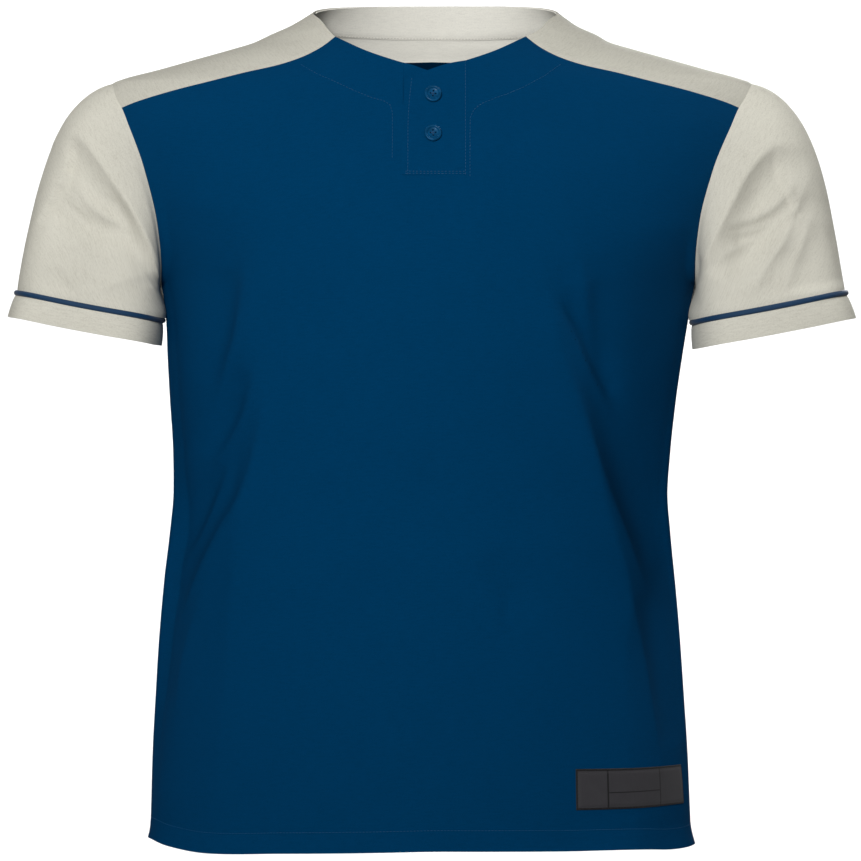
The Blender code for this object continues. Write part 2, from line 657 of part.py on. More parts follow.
def button_holes(name):
    """Four thin round cutters as one hidden mesh."""
    sides = 10
    points, faces = [], []
    for dx in (-1, 1):
        for dy in (-1, 1):
            base = len(points)
            for height in (-1.0 * MM, BUTTON_THICK + 1.0 * MM):
                for k in range(sides):
                    turn = 2 * math.pi * k / sides
                    points.append((dx * BUTTON_HOLE_SPACING + BUTTON_HOLE_RADIUS * math.cos(turn),
                                   dy * BUTTON_HOLE_SPACING + BUTTON_HOLE_RADIUS * math.sin(turn), height))
            faces.append([base + k for k in reversed(range(sides))])
            faces.append([base + sides + k for k in range(sides)])
            for k in range(sides):
                after = (k + 1) % sides
                faces.append([base + k, base + after, base + sides + after, base + sides + k])
    cutter = add_object(name, np.array(points), faces, "button_plastic")
    cutter.hide_render = True
    cutter.display_type = "WIRE"
    return cutter


def between_cells(grid, rows, columns):
    """The grid's values at fractional rows and columns, so that what is made from them lies on the same facets."""
    r, c = np.floor(rows).astype(int), np.floor(columns).astype(int)
    u, v = (rows - r)[..., None], (columns - c)[..., None]
    low = grid[r, c] * (1 - v) + grid[r, c + 1] * v
    high = grid[r + 1, c] * (1 - v) + grid[r + 1, c + 1] * v
    return low * (1 - u) + high * u


def build_tag(front, outward):
    """A patch on the front panel's own facets, with a column on each of the panel's columns that it crosses."""
    across = front[len(BODY_ROWS) // 6, :, 0]
    ends = np.interp([TAG_RIGHT, TAG_LEFT], across, np.arange(len(across)))
    inside = np.arange(math.ceil(ends[0] + 0.05), math.floor(ends[1] - 0.05) + 1)
    columns = np.concatenate([ends[:1], inside, ends[1:]])
    share = (columns - ends[0]) / (ends[1] - ends[0])
    bottom, top = (edge["right"] + (edge["left"] - edge["right"]) * share for edge in (TAG_BOTTOM, TAG_TOP))
    lines = []
    for column, low, high in zip(columns, bottom, top):
        heights = between_cells(front, np.arange(8.0), np.full(8, column))[:, 2]
        low, high = np.interp([low, high], heights, np.arange(8.0))
        middle = round((low + high) / 2)
        lines.append([low, middle, high])
    rows = np.array(lines).T
    columns = np.broadcast_to(columns, rows.shape)
    normal = between_cells(outward, rows, columns)
    normal /= np.linalg.norm(normal, axis=-1, keepdims=True)
    lifted = between_cells(front, rows, columns) + normal * (SEAM + TAG_THICK)
    wall("hem_tag", lifted, normal, "tag_cloth", TAG_THICK)


def sleeve_turns():
    """Angles round the armhole, once round from its top by way of the front: the edges of the body's panels."""
    yoke = yoke_turns()
    front_yoke = yoke[yoke >= 0][::-1]
    back_yoke = yoke[yoke < 0][::-1] + 2 * math.pi
    front_side = side_turns(True)[::-1][1:]
    back_side = side_turns(False)[1:] + 2 * math.pi
    top = [0.0] if abs(front_yoke[0]) > 1e-9 else []
    return np.concatenate([top, front_yoke, front_side, back_side, back_yoke[1:]])


def sleeve_loop(side_name, ends, turns):
    """The loop at a sleeve's mouth or hem: a flattened round that tilts up towards the outside."""
    x, z, half_width, half_depth, tilt = ends[side_name]
    tilt = math.radians(tilt)
    side = SIDES[side_name]
    out = np.array([side * math.cos(tilt), 0.0, math.sin(tilt)])
    middle = np.array([x * MM, -SLEEVE_FORWARD, z * MM])
    forward = np.array([0.0, -1.0, 0.0])
    across, ahead = (np.sign(part) * np.abs(part) ** (2 / SLEEVE_ROUNDNESS) for part in (np.cos(turns), np.sin(turns)))
    return (middle + across[:, None] * half_width * MM * out + ahead[:, None] * half_depth * MM * forward)


def sleeve_grid(side_name, turns):
    """Rows from the armhole to the mouth, each column a curve that leaves the armhole outwards and ends downwards."""
    side = SIDES[side_name]
    start = armhole_point(side, turns)
    end = sleeve_loop(side_name, SLEEVE_MOUTH, turns)
    degrees = np.degrees(turns)
    reach, forward, drop = (smooth([(row[0], row[k]) for row in SLEEVE_START[side_name]], degrees) * MM for k in (1, 2, 3))
    leave = np.stack([side * reach, -forward, -drop], axis=-1)
    tilt = math.radians(SLEEVE_MOUTH[side_name][4])
    axis = np.array([side * math.sin(tilt), 0.0, -math.cos(tilt)])
    pull = SLEEVE_END_PULL * np.linalg.norm(end - start, axis=-1, keepdims=True)
    arrive = axis * pull
    start = start + leave / np.linalg.norm(leave, axis=-1, keepdims=True) * SEAM
    rows = []
    for t in np.linspace(0, 1, N_SLEEVE + 1):
        rows.append(start * (1 + 2 * t) * (1 - t) ** 2 + leave * t * (1 - t) ** 2
                    + end * t * t * (3 - 2 * t) + arrive * t * t * (t - 1))
    return np.array(rows)


def outward_of(grid, closed=True):
    """Normals of a tube's grid, turned away from the tube's middle."""
    normal = grid_normals(grid, closed)
    away = grid - grid.mean(axis=1, keepdims=True)
    return normal * np.sign(np.sum(normal * away))


def build_sleeve(side_name):
    side = SIDES[side_name]
    turns = sleeve_turns()
    grid = sleeve_grid(side_name, turns)
    outward = outward_of(grid)
    grid = folded(grid, outward, SLEEVE_FOLDS[side_name])
    edge_normal = form_normal(armhole_point(side, turns))
    agree = np.clip((np.sum(edge_normal * outward[0], axis=-1) - 0.4) / 0.4, 0, 1)[:, None]
    outward[0] = outward[0] * (1 - agree) + edge_normal * agree
    outward[0] /= np.linalg.norm(outward[0], axis=-1, keepdims=True)
    wall(f"sleeve_{side_name}", drawn_in(grid, ("last_row",)), outward, "stone_knit", closed=True)

    mouth = grid[-1]
    hem = sleeve_loop(side_name, CUFF_HEM, turns)
    piping_shares = np.array([0.0, 0.25, 0.75, 1.0]) * PIPING_SHARE
    cuff_shares = np.linspace(PIPING_SHARE, 1, N_CUFF + 1)
    piping = mouth + (hem - mouth) * piping_shares[:, None, None]
    cuff = mouth + (hem - mouth) * cuff_shares[:, None, None]
    piping_out, cuff_out = outward_of(piping), outward_of(cuff)
    proud = np.array([0.0, 1.0, 1.0, 0.0])[:, None, None] * PIPING_PROUD
    piping = drawn_in(piping, ("first_row", "last_row"))
    wall_of_piping(f"piping_{side_name}", piping, piping_out, proud)
    wall(f"cuff_{side_name}", drawn_in(cuff, ("first_row",)), cuff_out, "stone_knit", closed=True)


def wall_of_piping(name, grid, outward, proud):
    """The piping's ring: its outside stands proud of the cloth, and its inside is level with it."""
    lifted = grid + outward * proud
    rows, columns = grid.shape[:2]
    inner = grid[[0, -1]] - outward[[0, -1]] * CLOTH
    points = np.concatenate([lifted.reshape(-1, 3), inner.reshape(-1, 3)])
    behind = rows * columns
    loops = [list(range(r * columns, (r + 1) * columns)) for r in range(rows)]
    loops += [list(range(behind + columns, behind + 2 * columns)), list(range(behind, behind + columns))]
    faces = []
    for low, high in zip(loops, loops[1:] + loops[:1]):
        for c in range(columns):
            after = (c + 1) % columns
            faces.append([low[c], low[after], high[after], high[c]])
    made = add_object(name, points, outward_faces(points, faces), "navy_knit")
    made.data.shade_smooth()


def main():
    for old in list(bpy.data.objects):
        bpy.data.objects.remove(old)
    front, outward = build_front()
    build_back()
    build_tag(front, outward)
    build_placket()
    for name, height in BUTTON_HEIGHTS.items():
        build_button(name, height)
    for side_name in SIDES:
        build_yoke(side_name)
        build_sleeve(side_name)
    build_facing()


main()
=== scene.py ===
"""The looks of the two-button sports jersey: fine cloth shells, sewing, buttons, tag, camera and light.

Every shell lies on the form that its solid is cut from, with finer creases. The wearer faces -Y, +X is the
wearer's left and +Z is up. Tables are in millimetres, and MM turns them into metres.
"""

import json
import math

import bpy
import numpy as np
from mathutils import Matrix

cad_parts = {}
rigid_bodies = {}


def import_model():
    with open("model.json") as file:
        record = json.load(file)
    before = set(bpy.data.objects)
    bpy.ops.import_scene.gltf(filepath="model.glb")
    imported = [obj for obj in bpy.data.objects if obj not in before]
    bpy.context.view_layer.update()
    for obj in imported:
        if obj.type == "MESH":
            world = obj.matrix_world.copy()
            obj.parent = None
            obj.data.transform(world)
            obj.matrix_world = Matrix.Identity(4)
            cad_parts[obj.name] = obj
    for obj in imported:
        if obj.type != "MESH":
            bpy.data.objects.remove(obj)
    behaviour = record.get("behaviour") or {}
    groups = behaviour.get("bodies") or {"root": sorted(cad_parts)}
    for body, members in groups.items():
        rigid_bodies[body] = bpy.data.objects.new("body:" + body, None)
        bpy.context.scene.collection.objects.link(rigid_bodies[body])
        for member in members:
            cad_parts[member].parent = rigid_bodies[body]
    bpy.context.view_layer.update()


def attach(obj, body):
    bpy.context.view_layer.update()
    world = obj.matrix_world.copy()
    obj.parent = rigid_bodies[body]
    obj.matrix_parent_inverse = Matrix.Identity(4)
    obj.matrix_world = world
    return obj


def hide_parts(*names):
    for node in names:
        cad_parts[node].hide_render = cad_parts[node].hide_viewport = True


MM = 0.001
KNIT = 0.9 * MM
SIDES = {"left": 1.0, "right": -1.0}

# The form's rings, from above the neck down to the hem. shift is how far the ring's middle lies towards +X.
RING_COLUMNS = ("z", "half_width", "front_depth", "back_depth", "roundness", "shift")
RINGS = (
    (30.0, 76.0, 42.0, 44.0, 2.00, 5.5),
    (12.0, 93.0, 54.0, 57.0, 1.95, 5.5),
    (1.8, 105.6, 61.0, 63.0, 1.88, 4.7),
    (-5.0, 115.3, 66.0, 67.0, 1.84, 4.0),
    (-12.0, 126.7, 69.5, 71.0, 1.80, 3.2),
    (-19.0, 142.6, 73.0, 75.0, 1.78, 3.0),
    (-26.0, 156.5, 76.0, 78.0, 1.76, 1.5),
    (-33.0, 180.5, 79.0, 81.0, 1.75, 1.5),
    (-40.0, 206.5, 82.0, 84.0, 1.75, 1.5),
    (-50.0, 242.0, 86.0, 88.0, 1.76, 1.8),
    (-58.0, 271.5, 89.0, 91.0, 1.78, 2.0),
    (-62.0, 281.2, 90.5, 92.5, 1.80, 1.5),
    (-80.0, 292.0, 96.0, 98.0, 1.88, 0.0),
    (-103.0, 290.0, 102.0, 103.0, 2.00, -0.5),
    (-140.0, 277.0, 113.0, 112.0, 2.02, -1.5),
    (-183.0, 256.5, 121.0, 117.0, 2.03, -2.0),
    (-226.0, 238.0, 125.0, 117.5, 2.04, -2.0),
    (-238.0, 234.5, 125.5, 116.5, 2.04, -2.2),
    (-270.0, 229.5, 125.5, 114.0, 2.04, -3.0),
    (-300.0, 226.5, 124.5, 110.0, 2.04, -4.8),
    (-340.0, 222.6, 122.0, 104.5, 2.05, -6.6),
    (-385.0, 218.9, 118.5, 99.5, 2.05, -7.7),
    (-420.0, 217.6, 116.0, 98.0, 2.05, -8.8),
    (-455.0, 220.4, 114.5, 99.0, 2.05, -9.2),
    (-500.0, 225.3, 114.0, 102.5, 2.05, -9.7),
    (-550.0, 229.7, 114.5, 107.0, 2.05, -9.7),
    (-600.0, 233.0, 115.5, 111.0, 2.05, -9.5),
    (-650.0, 235.9, 116.5, 114.0, 2.06, -9.2),
    (-700.0, 237.6, 117.5, 116.0, 2.06, -8.8),
    (-713.0, 238.0, 118.0, 116.5, 2.06, -8.6),
    (-735.0, 243.0, 121.5, 120.0, 2.06, -8.3),
)

# The armhole, seen from the side: half an ellipse to the front and half a deeper one to the back.
ARMHOLE_TOP = -62.0 * MM
ARMPIT = -238.0 * MM
ARMHOLE_FRONT = 53.0 * MM
ARMHOLE_BACK = 56.0 * MM
ARMHOLE_MIDDLE = (ARMHOLE_TOP + ARMPIT) / 2
ARMHOLE_RADIUS = (ARMHOLE_TOP - ARMPIT) / 2

# The neck edge from the front yoke seam over the shoulder to the middle of the back: angle, height.
NECK_EDGE = ((36.0, -24.7), (45.0, -16.5), (61.0, -6.5), (90.0, 1.8), (120.0, 7.5), (147.0, 10.0),
             (180.0, 10.8))
# The front neck edge between the yokes: distance from the middle plane, height.
NECK_FRONT = ((0.0, -51.5), (22.8, -48.9), (31.1, -46.5), (55.0, -38.0), (82.3, -24.7))
NECK_CORNER_X = 82.3 * MM
# The yoke seams from the neck, or from the middle of the back, to the armhole: share of the way, height.
FRONT_SEAM = ((0.0, -24.7), (0.066, -34.3), (0.156, -43.0), (0.264, -49.6), (0.411, -55.6), (0.585, -63.5),
              (0.723, -69.5), (0.81, -73.7), (0.939, -80.6), (1.0, -84.8))
BACK_SEAM = ((0.0, -37.0), (0.2, -38.5), (0.4, -45.0), (0.6, -57.0), (0.8, -73.5), (1.0, -90.0))

# The placket's box in the front panel, and its two flaps. The upper one laps towards the wearer's right.
PLACKET_RIGHT = -23.4 * MM
PLACKET_LEFT = 31.1 * MM
PLACKET_BOTTOM = -145.8 * MM
FLAP_TOP = ((-23.1, -64.5), (-14.0, -59.5), (-2.6, -55.0), (16.3, -49.2), (31.1, -46.8))
STAND_TOP = ((-32.0, -46.9), (-23.0, -48.9), (-2.6, -55.0), (14.0, -59.0), (26.0, -62.0))
STAND_RIGHT = -32.0 * MM
STAND_LEFT = 26.0 * MM
STAND_BOTTOM = -139.0 * MM
STAND_DEPTH = 1.3 * MM
STAND_LEVEL = 0.05 * MM
STAND_EDGE = 1.0 * MM
STAND_RISE = 6.0 * MM
FLAP_LIFT = 0.8 * MM
FLAP_OVER = 1.0 * MM
FLAP_SEWN_OVER = 0.6 * MM
FLAP_SEWN_LIFT = 0.16 * MM
FLAP_CORNER_IN = 3.5 * MM
FLAP_CORNER_REACH = 45.0 * MM
# The flap's two upright lines of stitches: how far they are from its free edge.
FLAP_STITCHES = (5.0 * MM, 52.6 * MM)
# Topstitching in front, as (x, z): the facing's line on either side of the placket, and the placket's box.
FACING_LINE = {
    "right": ((-112.0, -49.5), (-98.0, -58.0), (-81.4, -65.5), (-66.0, -73.0), (-50.6, -79.3),
              (-40.0, -82.3), (-34.4, -86.0), (-32.6, -92.0), (-32.4, -112.0), (-32.6, -132.0)),
    "left": ((112.0, -49.5), (98.0, -60.0), (80.0, -70.0), (66.0, -76.0), (56.6, -79.3),
             (44.0, -84.5), (37.0, -90.0), (33.9, -97.0), (33.6, -120.0), (33.6, -148.0)),
}
PLACKET_LINES = (((-22.0, -143.2), (30.0, -143.2)), ((-22.0, -145.0), (30.0, -145.0)))
GROOVE_DEPTH = 0.35 * MM
GROOVE_WIDTH = 1.3 * MM

# Buttons: 15 mm across with a raised rim, a dished middle and four thread holes. The flap hollows under each.
BUTTON_RADIUS = 7.5 * MM
BUTTON_THICK = 2.6 * MM
BUTTON_SEAT = 0.6 * MM
BUTTON_HOLE_RADIUS = 0.8 * MM
BUTTON_HOLE_SPACING = 1.5 * MM
# Its outline from the middle of its back round to the middle of its face: share of the radius and thickness.
BUTTON_PROFILE = ((0.0, 0.0), (0.70, 0.0), (0.90, 0.06), (0.985, 0.24), (1.0, 0.45), (0.985, 0.66),
                  (0.94, 0.86), (0.875, 0.97), (0.81, 1.0), (0.75, 0.96), (0.69, 0.84), (0.62, 0.70),
                  (0.54, 0.64), (0.0, 0.62))
BUTTON_HEIGHTS = {"button_upper": -76.5 * MM, "button_lower": -110.5 * MM}
BUTTON_TURNS = {"button_upper": 38.0, "button_lower": 47.0}
BUTTON_X = 2.2 * MM
BUTTON_HOLLOW = 0.5 * MM
BUTTON_SEGMENTS = 72
BUTTON_HOLE_SEGMENTS = 20
# The button's thread: two runs each way between opposite holes.
RUN_APART = 0.28 * MM
RUN_RADIUS = 0.24 * MM
RUN_ARCH = 0.42 * MM
RUN_SINK = 1.5 * MM
RUN_SINKS_FROM = 0.86

# The woven tag: its ends and edges as in the solids, its border, and its bars as shares of its size.
TAG_RIGHT = 124.5 * MM
TAG_LEFT = 219.0 * MM
TAG_BOTTOM = {"right": -690.0 * MM, "left": -692.5 * MM}
TAG_TOP = {"right": -654.5 * MM, "left": -658.5 * MM}
TAG_THICK = 0.7 * MM
TAG_BORDER = 1.5 * MM
TAG_BARS_ACROSS = (0.19, 0.625)
TAG_BAR_LEVEL = 0.41
TAG_STITCH_INSET = 1.0 * MM
TAG_SEAT = 0.15 * MM
TAG_CELLS_ACROSS = 96
TAG_CELLS_UP = 40

# The band that faces the back neck edge on the inside.
FACING_DEPTH = 33.0 * MM
FACING_GAP = 1.1 * MM
FACING_THICK = 0.8 * MM
FACING_PRESSED = 0.7

# The hem's height, and how much higher it hangs across its width: x, height.
HEM = -727.0 * MM
HEM_RISE = ((-245.0, 3.0), (-232.0, 0.2), (-200.0, -2.5), (-140.0, 0.6), (0.0, 4.0), (140.0, 1.9),
            (190.0, -0.2), (215.0, -2.3), (235.0, -3.2), (245.0, -3.2))
HEM_RISE_REACH = 60.0 * MM
HEM_STITCH = 18.0 * MM
HEM_STEP = 0.45 * MM
HEM_GROOVE = 0.5 * MM
HEM_RIPPLE = 0.7 * MM
HEM_RIPPLE_ROWS = 26
HEM_RIPPLE_LENGTH = {"front": 0.09, "back": 0.08}

# Where each sleeve ends: the mouth above the piping and the hem of the cuff, each with its x, z, half width,
# half depth and tilt in degrees.
SLEEVE_MOUTH = {"right": (-298.5, -255.3, 64.6, 54.0, 10.8), "left": (296.2, -256.0, 68.0, 55.0, 11.0)}
CUFF_HEM = {"right": (-303.6, -279.0, 68.1, 57.0, 10.8), "left": (301.5, -281.2, 72.4, 58.0, 10.9)}
SLEEVE_ROUNDNESS = 2.4
SLEEVE_FORWARD = 8.0 * MM
# How the sleeve leaves the armhole, from its top by way of the front to the armpit: angle, reach out, reach
# forward, drop. It leaves the back of the armhole in the same way, backwards.
SLEEVE_START = {
    "right": ((0, 182, 0, 44), (45, 132, 34, 62), (90, 62, 42, 70), (135, 36, 24, 48), (180, 14, 0, 24)),
    "left": ((0, 194, 0, 44), (45, 138, 34, 62), (90, 62, 42, 70), (135, 36, 24, 48), (180, 14, 0, 24)),
}
SLEEVE_END_PULL = 0.8
PIPING_SHARE = 0.19
PIPING_PROUD = 2.0 * MM
# The sleeve's corners, which swell: degrees round the sleeve from its outer side, and the swell.
SLEEVE_CORNERS = ((52.0, 4.0 * MM), (128.0, 5.0 * MM), (232.0, 5.0 * MM), (308.0, 4.0 * MM))
SLEEVE_CORNER_WIDTH = 28.0
# Above the piping the sleeve's inner side comes nearer to the body, over this many degrees of its round.
SLEEVE_INNER = 2.6 * MM
SLEEVE_INNER_WIDTH = 30.0
# The sleeve's folds fade out over these lengths below the armhole and above the mouth.
SLEEVE_FADES = (9.0 * MM, 12.0 * MM)
MOUTH_DIP = 0.3 * MM
# The cuff's ripple round its hem, its belly, and the dip below the piping.
CUFF_RIPPLE = 0.35 * MM
CUFF_BELLY = 0.5 * MM
CUFF_DIP = 0.4 * MM
CUFF_DIP_WIDTH = 1.6 * MM
CUFF_THICK = KNIT * 1.4

# Folds. Each follows a path of (x, z) points. Seen from outside and looking along it, the cloth rises over
# "rise_width" on the right up to "rise" at the path, falls on the left over "fall_width" to "drop" below its
# level, most steeply at the path, and comes back over "return_width". face is 1 in front and -1 behind.
FOLD_COLUMNS = ("face", "rise_width", "rise", "fall_width", "drop", "return_width", "path")
BODY_FOLDS = (
    (1, 18, 2.4, 22, 6.4, 26, ((100, -244), (110, -282), (124, -328), (151, -406), (170, -449),
                               (188, -490))),
    (1, 9, 3.0, 10, 4.6, 12, ((110, -259), (123, -282), (137, -308), (147, -325), (159, -342))),
    (1, 12, 1.6, 14, 2.8, 20, ((128, -215), (133, -240), (138, -268), (143, -290), (152, -318))),
    (1, 22, 1.8, 18, 4.0, 14, ((173, -508), (185, -551), (196, -611), (202, -645))),
    (1, 14, 2.2, 14, 5.0, 20, ((-187, -331), (-178, -308), (-170, -285), (-164, -257), (-160, -227))),
    (1, 10, 2.2, 12, 4.4, 16, ((-197, -397), (-183, -382), (-170, -363), (-158, -340), (-149, -314))),
    (1, 14, 2.4, 17, 7.0, 28, ((-224, -525), (-205, -487), (-184, -450), (-164, -421), (-153, -389),
                               (-143, -338))),
    (1, 10, 2.0, 12, 4.0, 16, ((-221, -474), (-209, -457), (-193, -427), (-178, -397))),
    (1, 20, 1.4, 24, 4.0, 34, ((-226, -611), (-222, -576), (-214, -542), (-200, -508))),
    (1, 34, 1.0, 50, 2.6, 60, ((118, -500), (93, -474), (59, -464), (33, -474))),
    (1, 34, 0.8, 50, 2.2, 60, ((-26, -471), (-69, -474), (-103, -500), (-129, -525))),
    (1, 36, 0.5, 56, 7.0, 80, ((-186, -690), (-176, -560), (-166, -420), (-156, -300), (-146, -170))),
    (-1, 18, 1.6, 18, 3.4, 28, ((-150, -190), (-160, -250), (-176, -320), (-205, -400))),
    (-1, 18, 1.6, 18, 3.4, 28, ((200, -410), (176, -330), (160, -270), (142, -200))),
    (-1, 20, 1.8, 20, 2.6, 30, ((-112, -396), (-50, -414), (20, -416), (104, -398))),
    (-1, 18, 1.4, 20, 2.0, 26, ((128, -450), (60, -466), (-20, -470), (-132, -456))),
    (-1, 16, 1.4, 18, 2.2, 26, ((-92, -112), (-112, -150), (-140, -192), (-176, -230))),
    (-1, 16, 1.4, 18, 2.2, 26, ((172, -238), (142, -204), (118, -160), (100, -108))),
)
SLEEVE_FOLDS = {
    "right": (
        (1, 20, 2.6, 22, 10.5, 36, ((-237, -227), (-247, -199), (-257, -177), (-275, -149), (-288, -130),
                                    (-299, -116), (-308, -110), (-322, -113))),
        (1, 10, 2.0, 11, 4.2, 14, ((-266, -188), (-284, -179), (-296, -170), (-307, -153))),
        (1, 10, 1.4, 11, 3.0, 14, ((-292, -182), (-308, -170), (-318, -157))),
        (1, 9, 1.0, 11, 1.8, 14, ((-299, -249), (-309, -237), (-319, -219))),
        (1, 12, 1.4, 16, 3.2, 20, ((-232, -261), (-242, -244), (-250, -226))),
        (1, 8, 1.0, 6, 5.0, 9, ((-237, -240), (-245, -210), (-256, -182), (-270, -158))),
        (-1, 16, 1.4, 16, 4.0, 30, ((-318, -118), (-300, -128), (-276, -158), (-238, -222))),
        (-1, 10, 0.9, 11, 1.6, 14, ((-320, -172), (-300, -186), (-272, -200))),
    ),
    "left": (
        (1, 18, 2.6, 21, 10.5, 32, ((312, -121), (298, -121), (286, -129), (274, -144), (263, -165),
                                    (253, -186), (246, -203), (235, -228))),
        (1, 10, 2.6, 11, 5.0, 13, ((313, -154), (305, -165), (293, -175), (279, -182), (257, -188))),
        (1, 6, 1.5, 7, 2.6, 9, ((297, -186), (279, -192), (260, -196))),
        (1, 10, 1.8, 12, 4.0, 15, ((288, -195), (270, -205), (250, -216))),
        (1, 14, 2.4, 15, 5.2, 17, ((325, -152), (315, -177), (304, -203), (292, -221), (280, -242))),
        (1, 12, 1.8, 17, 4.6, 30, ((331, -179), (322, -205), (313, -228), (307, -247))),
        (1, 10, 1.2, 16, 2.8, 20, ((230, -252), (238, -237), (249, -224))),
        (-1, 16, 1.4, 16, 4.0, 30, ((236, -222), (272, -160), (298, -130), (316, -120))),
        (-1, 10, 0.9, 11, 1.6, 14, ((270, -204), (300, -190), (322, -176))),
    ),
}
FOLD_SAMPLES = 40
FOLD_FADE = 0.42

# On the wearer's left the front is pulled nearly straight from an angle round the form to the side seam:
# height, angle in degrees, depth.
LEFT_FLANK = ((-190, 38, 0.0), (-225, 37, 5.0), (-260, 35, 10.0), (-300, 36, 13.0), (-355, 40, 13.5),
              (-406, 45, 12.5), (-457, 50, 10.5), (-508, 54, 8.0), (-560, 50, 6.0), (-620, 50, 5.0),
              (-690, 52, 3.5))

# Soft uneven waves of each cloth: their size, their height, and the seed of their random draws. The front's
# broad waves begin this far down and grow over this reach. Each sleeve's seeds count up from its own.
FRONT_WAVES = ((0.16, 1.1 * MM, 3), (0.05, 0.12 * MM, 4))
FRONT_WAVES_FROM = 0.13
FRONT_WAVES_REACH = 0.15
BACK_WAVES = ((0.17, 1.6 * MM, 8), (0.055, 0.25 * MM, 9))
YOKE_WAVES = ((0.09, 0.7 * MM, 21), (0.035, 0.18 * MM, 22))
FLAP_WAVES = ((0.03, 0.1 * MM, 31),)
TAG_WAVES = ((0.02, 0.12 * MM, 41),)
SLEEVE_WAVES = ((0.08, 0.9 * MM), (0.03, 0.2 * MM))
SLEEVE_SEEDS = {"left": 50, "right": 60}

# Cloth beside a seam is drawn in by the thread, over a short width. Its folds and waves fade out towards it.
SEAM_DIP = 0.2 * MM
SEAM_DIP_WIDTH = 2.2 * MM
SEAM_FADE = 14.0 * MM

# How finely the shells are divided: columns by panel, and the size of a cell along the rows.
CELL = 3.6 * MM
N_YOKE = 50
N_NECK = 16
N_PLACKET = 14
N_BACK = 66
N_ARM_YOKE = 34
N_RISE_LOW = 22
N_RISE_HIGH = 26
N_SLEEVE = 70
N_CUFF = 16
N_PIPING = 14
N_FACING = 10
PLACKET_COLUMNS = (N_YOKE + N_NECK, N_YOKE + N_NECK + N_PLACKET)

# Stitches: thread thickness, length and pitch.
THREAD = 0.28 * MM
STITCH_LENGTH = 2.1 * MM
STITCH_PITCH = 2.9 * MM
# A stitch's outline along its length: share of the length, share of the thickness. It is lower than it is
# wide, and its ends sink into the cloth.
STITCH_STATIONS = ((-0.5, 0.35), (-0.32, 0.9), (0.0, 1.0), (0.32, 0.9), (0.5, 0.35))
STITCH_SIDES = 6
STITCH_LOWER = 0.7
STITCH_RISE = 0.55
STITCH_SINK = 0.25

# The camera looks as in the photo, and the floor and backdrop are one pale sweep.
CAMERA_DISTANCE = 3.5
CAMERA_HEIGHT = -0.28
CAMERA_AIM = -0.3665
FRAME_WIDTH = 0.7577
SENSOR = 36.0
FLOOR = -1.6
# Lights: places, aims and sizes are in metres, power is in watts and spread in degrees.
LIGHT_COLUMNS = ("name", "place", "aim", "size", "power", "spread")
LIGHTS = (
    ("key", (-0.61, -3.44, 0.77), (0.0, 0.0, -0.1), 1.0, 14.6, 60.0),
    ("back", (0.9, 3.30, 0.95), (0.0, 0.0, -0.3), 1.0, 9.0, 60.0),
    ("right_side", (-1.70, 0.35, 1.80), (-0.33, 0.0, -0.17), 0.5, 0.28, 22.0),
    ("left_side", (1.70, 0.35, 1.80), (0.33, 0.0, -0.17), 0.5, 0.65, 22.0),
    ("backdrop", (0.0, 3.6, 2.4), (0.0, 6.0, -0.6), 1.6, 95.0, 120.0),
)
WORLD_STRENGTH = 0.08


def hermite(start, leave, end, arrive, t):
    """The point at share t of a curve from start to end, which leaves and arrives at the given speeds."""
    return (start * (1 + 2 * t) * (1 - t) ** 2 + leave * t * (1 - t) ** 2
            + end * t * t * (3 - 2 * t) + arrive * t * t * (t - 1))


def smooth(points, at):
    """A smooth curve through (place, value) points, read at the given places, with no overshoot."""
    places, values = np.array(sorted(points), float).T
    step = np.diff(places)
    slope = np.diff(values) / step
    product = slope[:-1] * slope[1:]
    total = slope[:-1] + slope[1:]
    inner = np.where(product > 0, 2 * product / np.where(total == 0, 1, total), 0)
    tangent = np.concatenate([slope[:1], inner, slope[-1:]])
    at = np.clip(np.asarray(at, float), places[0], places[-1])
    i = np.clip(np.searchsorted(places, at) - 1, 0, len(step) - 1)
    t = (at - places[i]) / step[i]
    return hermite(values[i], tangent[i] * step[i], values[i + 1], tangent[i + 1] * step[i], t)


def columns_at(table, at):
    """Each column of a table after its first, read smoothly at the given places in the first."""
    return [smooth([(row[0], row[k]) for row in table], at) for k in range(1, len(table[0]))]


def unit(vectors):
    return vectors / np.maximum(np.linalg.norm(vectors, axis=-1, keepdims=True), 1e-12)


def ease(value):
    """0 below 0, 1 above 1, and a smooth step between."""
    t = np.clip(value, 0, 1)
    return t * t * (3 - 2 * t)


def bell(distance, width):
    """1 at no distance, and falling away smoothly over the width."""
    return np.exp(-((distance / width) ** 2))


def ring(z):
    """Half width, front depth, back depth, roundness and shift of the form's ring at height z."""
    scales = [1.0 if name == "roundness" else MM for name in RING_COLUMNS[1:]]
    return [values * scale for values, scale in zip(columns_at(RINGS, z / MM), scales)]


def form_point(angle, z):
    """The form's point at an angle round from the middle of the front, 90 degrees being the left side."""
    half, front, back, power, shift = ring(z)
    s, c = np.sin(angle), np.cos(angle)
    depth = np.where(c > 0, front, back)
    x = shift + half * np.sign(s) * np.abs(s) ** (2 / power)
    y = -depth * np.sign(c) * np.abs(c) ** (2 / power)
    return np.stack(np.broadcast_arrays(x, y, z), axis=-1)


def form_angle(x, z):
    """The angle, in front, at which the form's ring at height z has the given x."""
    half, _, _, power, shift = ring(z)
    share = np.clip(np.abs(x - shift) / half, 0, 1)
    return np.sign(x - shift) * np.arcsin(share ** (power / 2))


def form_level(x, y, z):
    """Below 1 inside the form and above 1 outside it."""
    half, front, back, power, shift = ring(z)
    depth = np.where(y < 0, front, back)
    return (np.abs(x - shift) / half) ** power + (np.abs(y) / depth) ** power


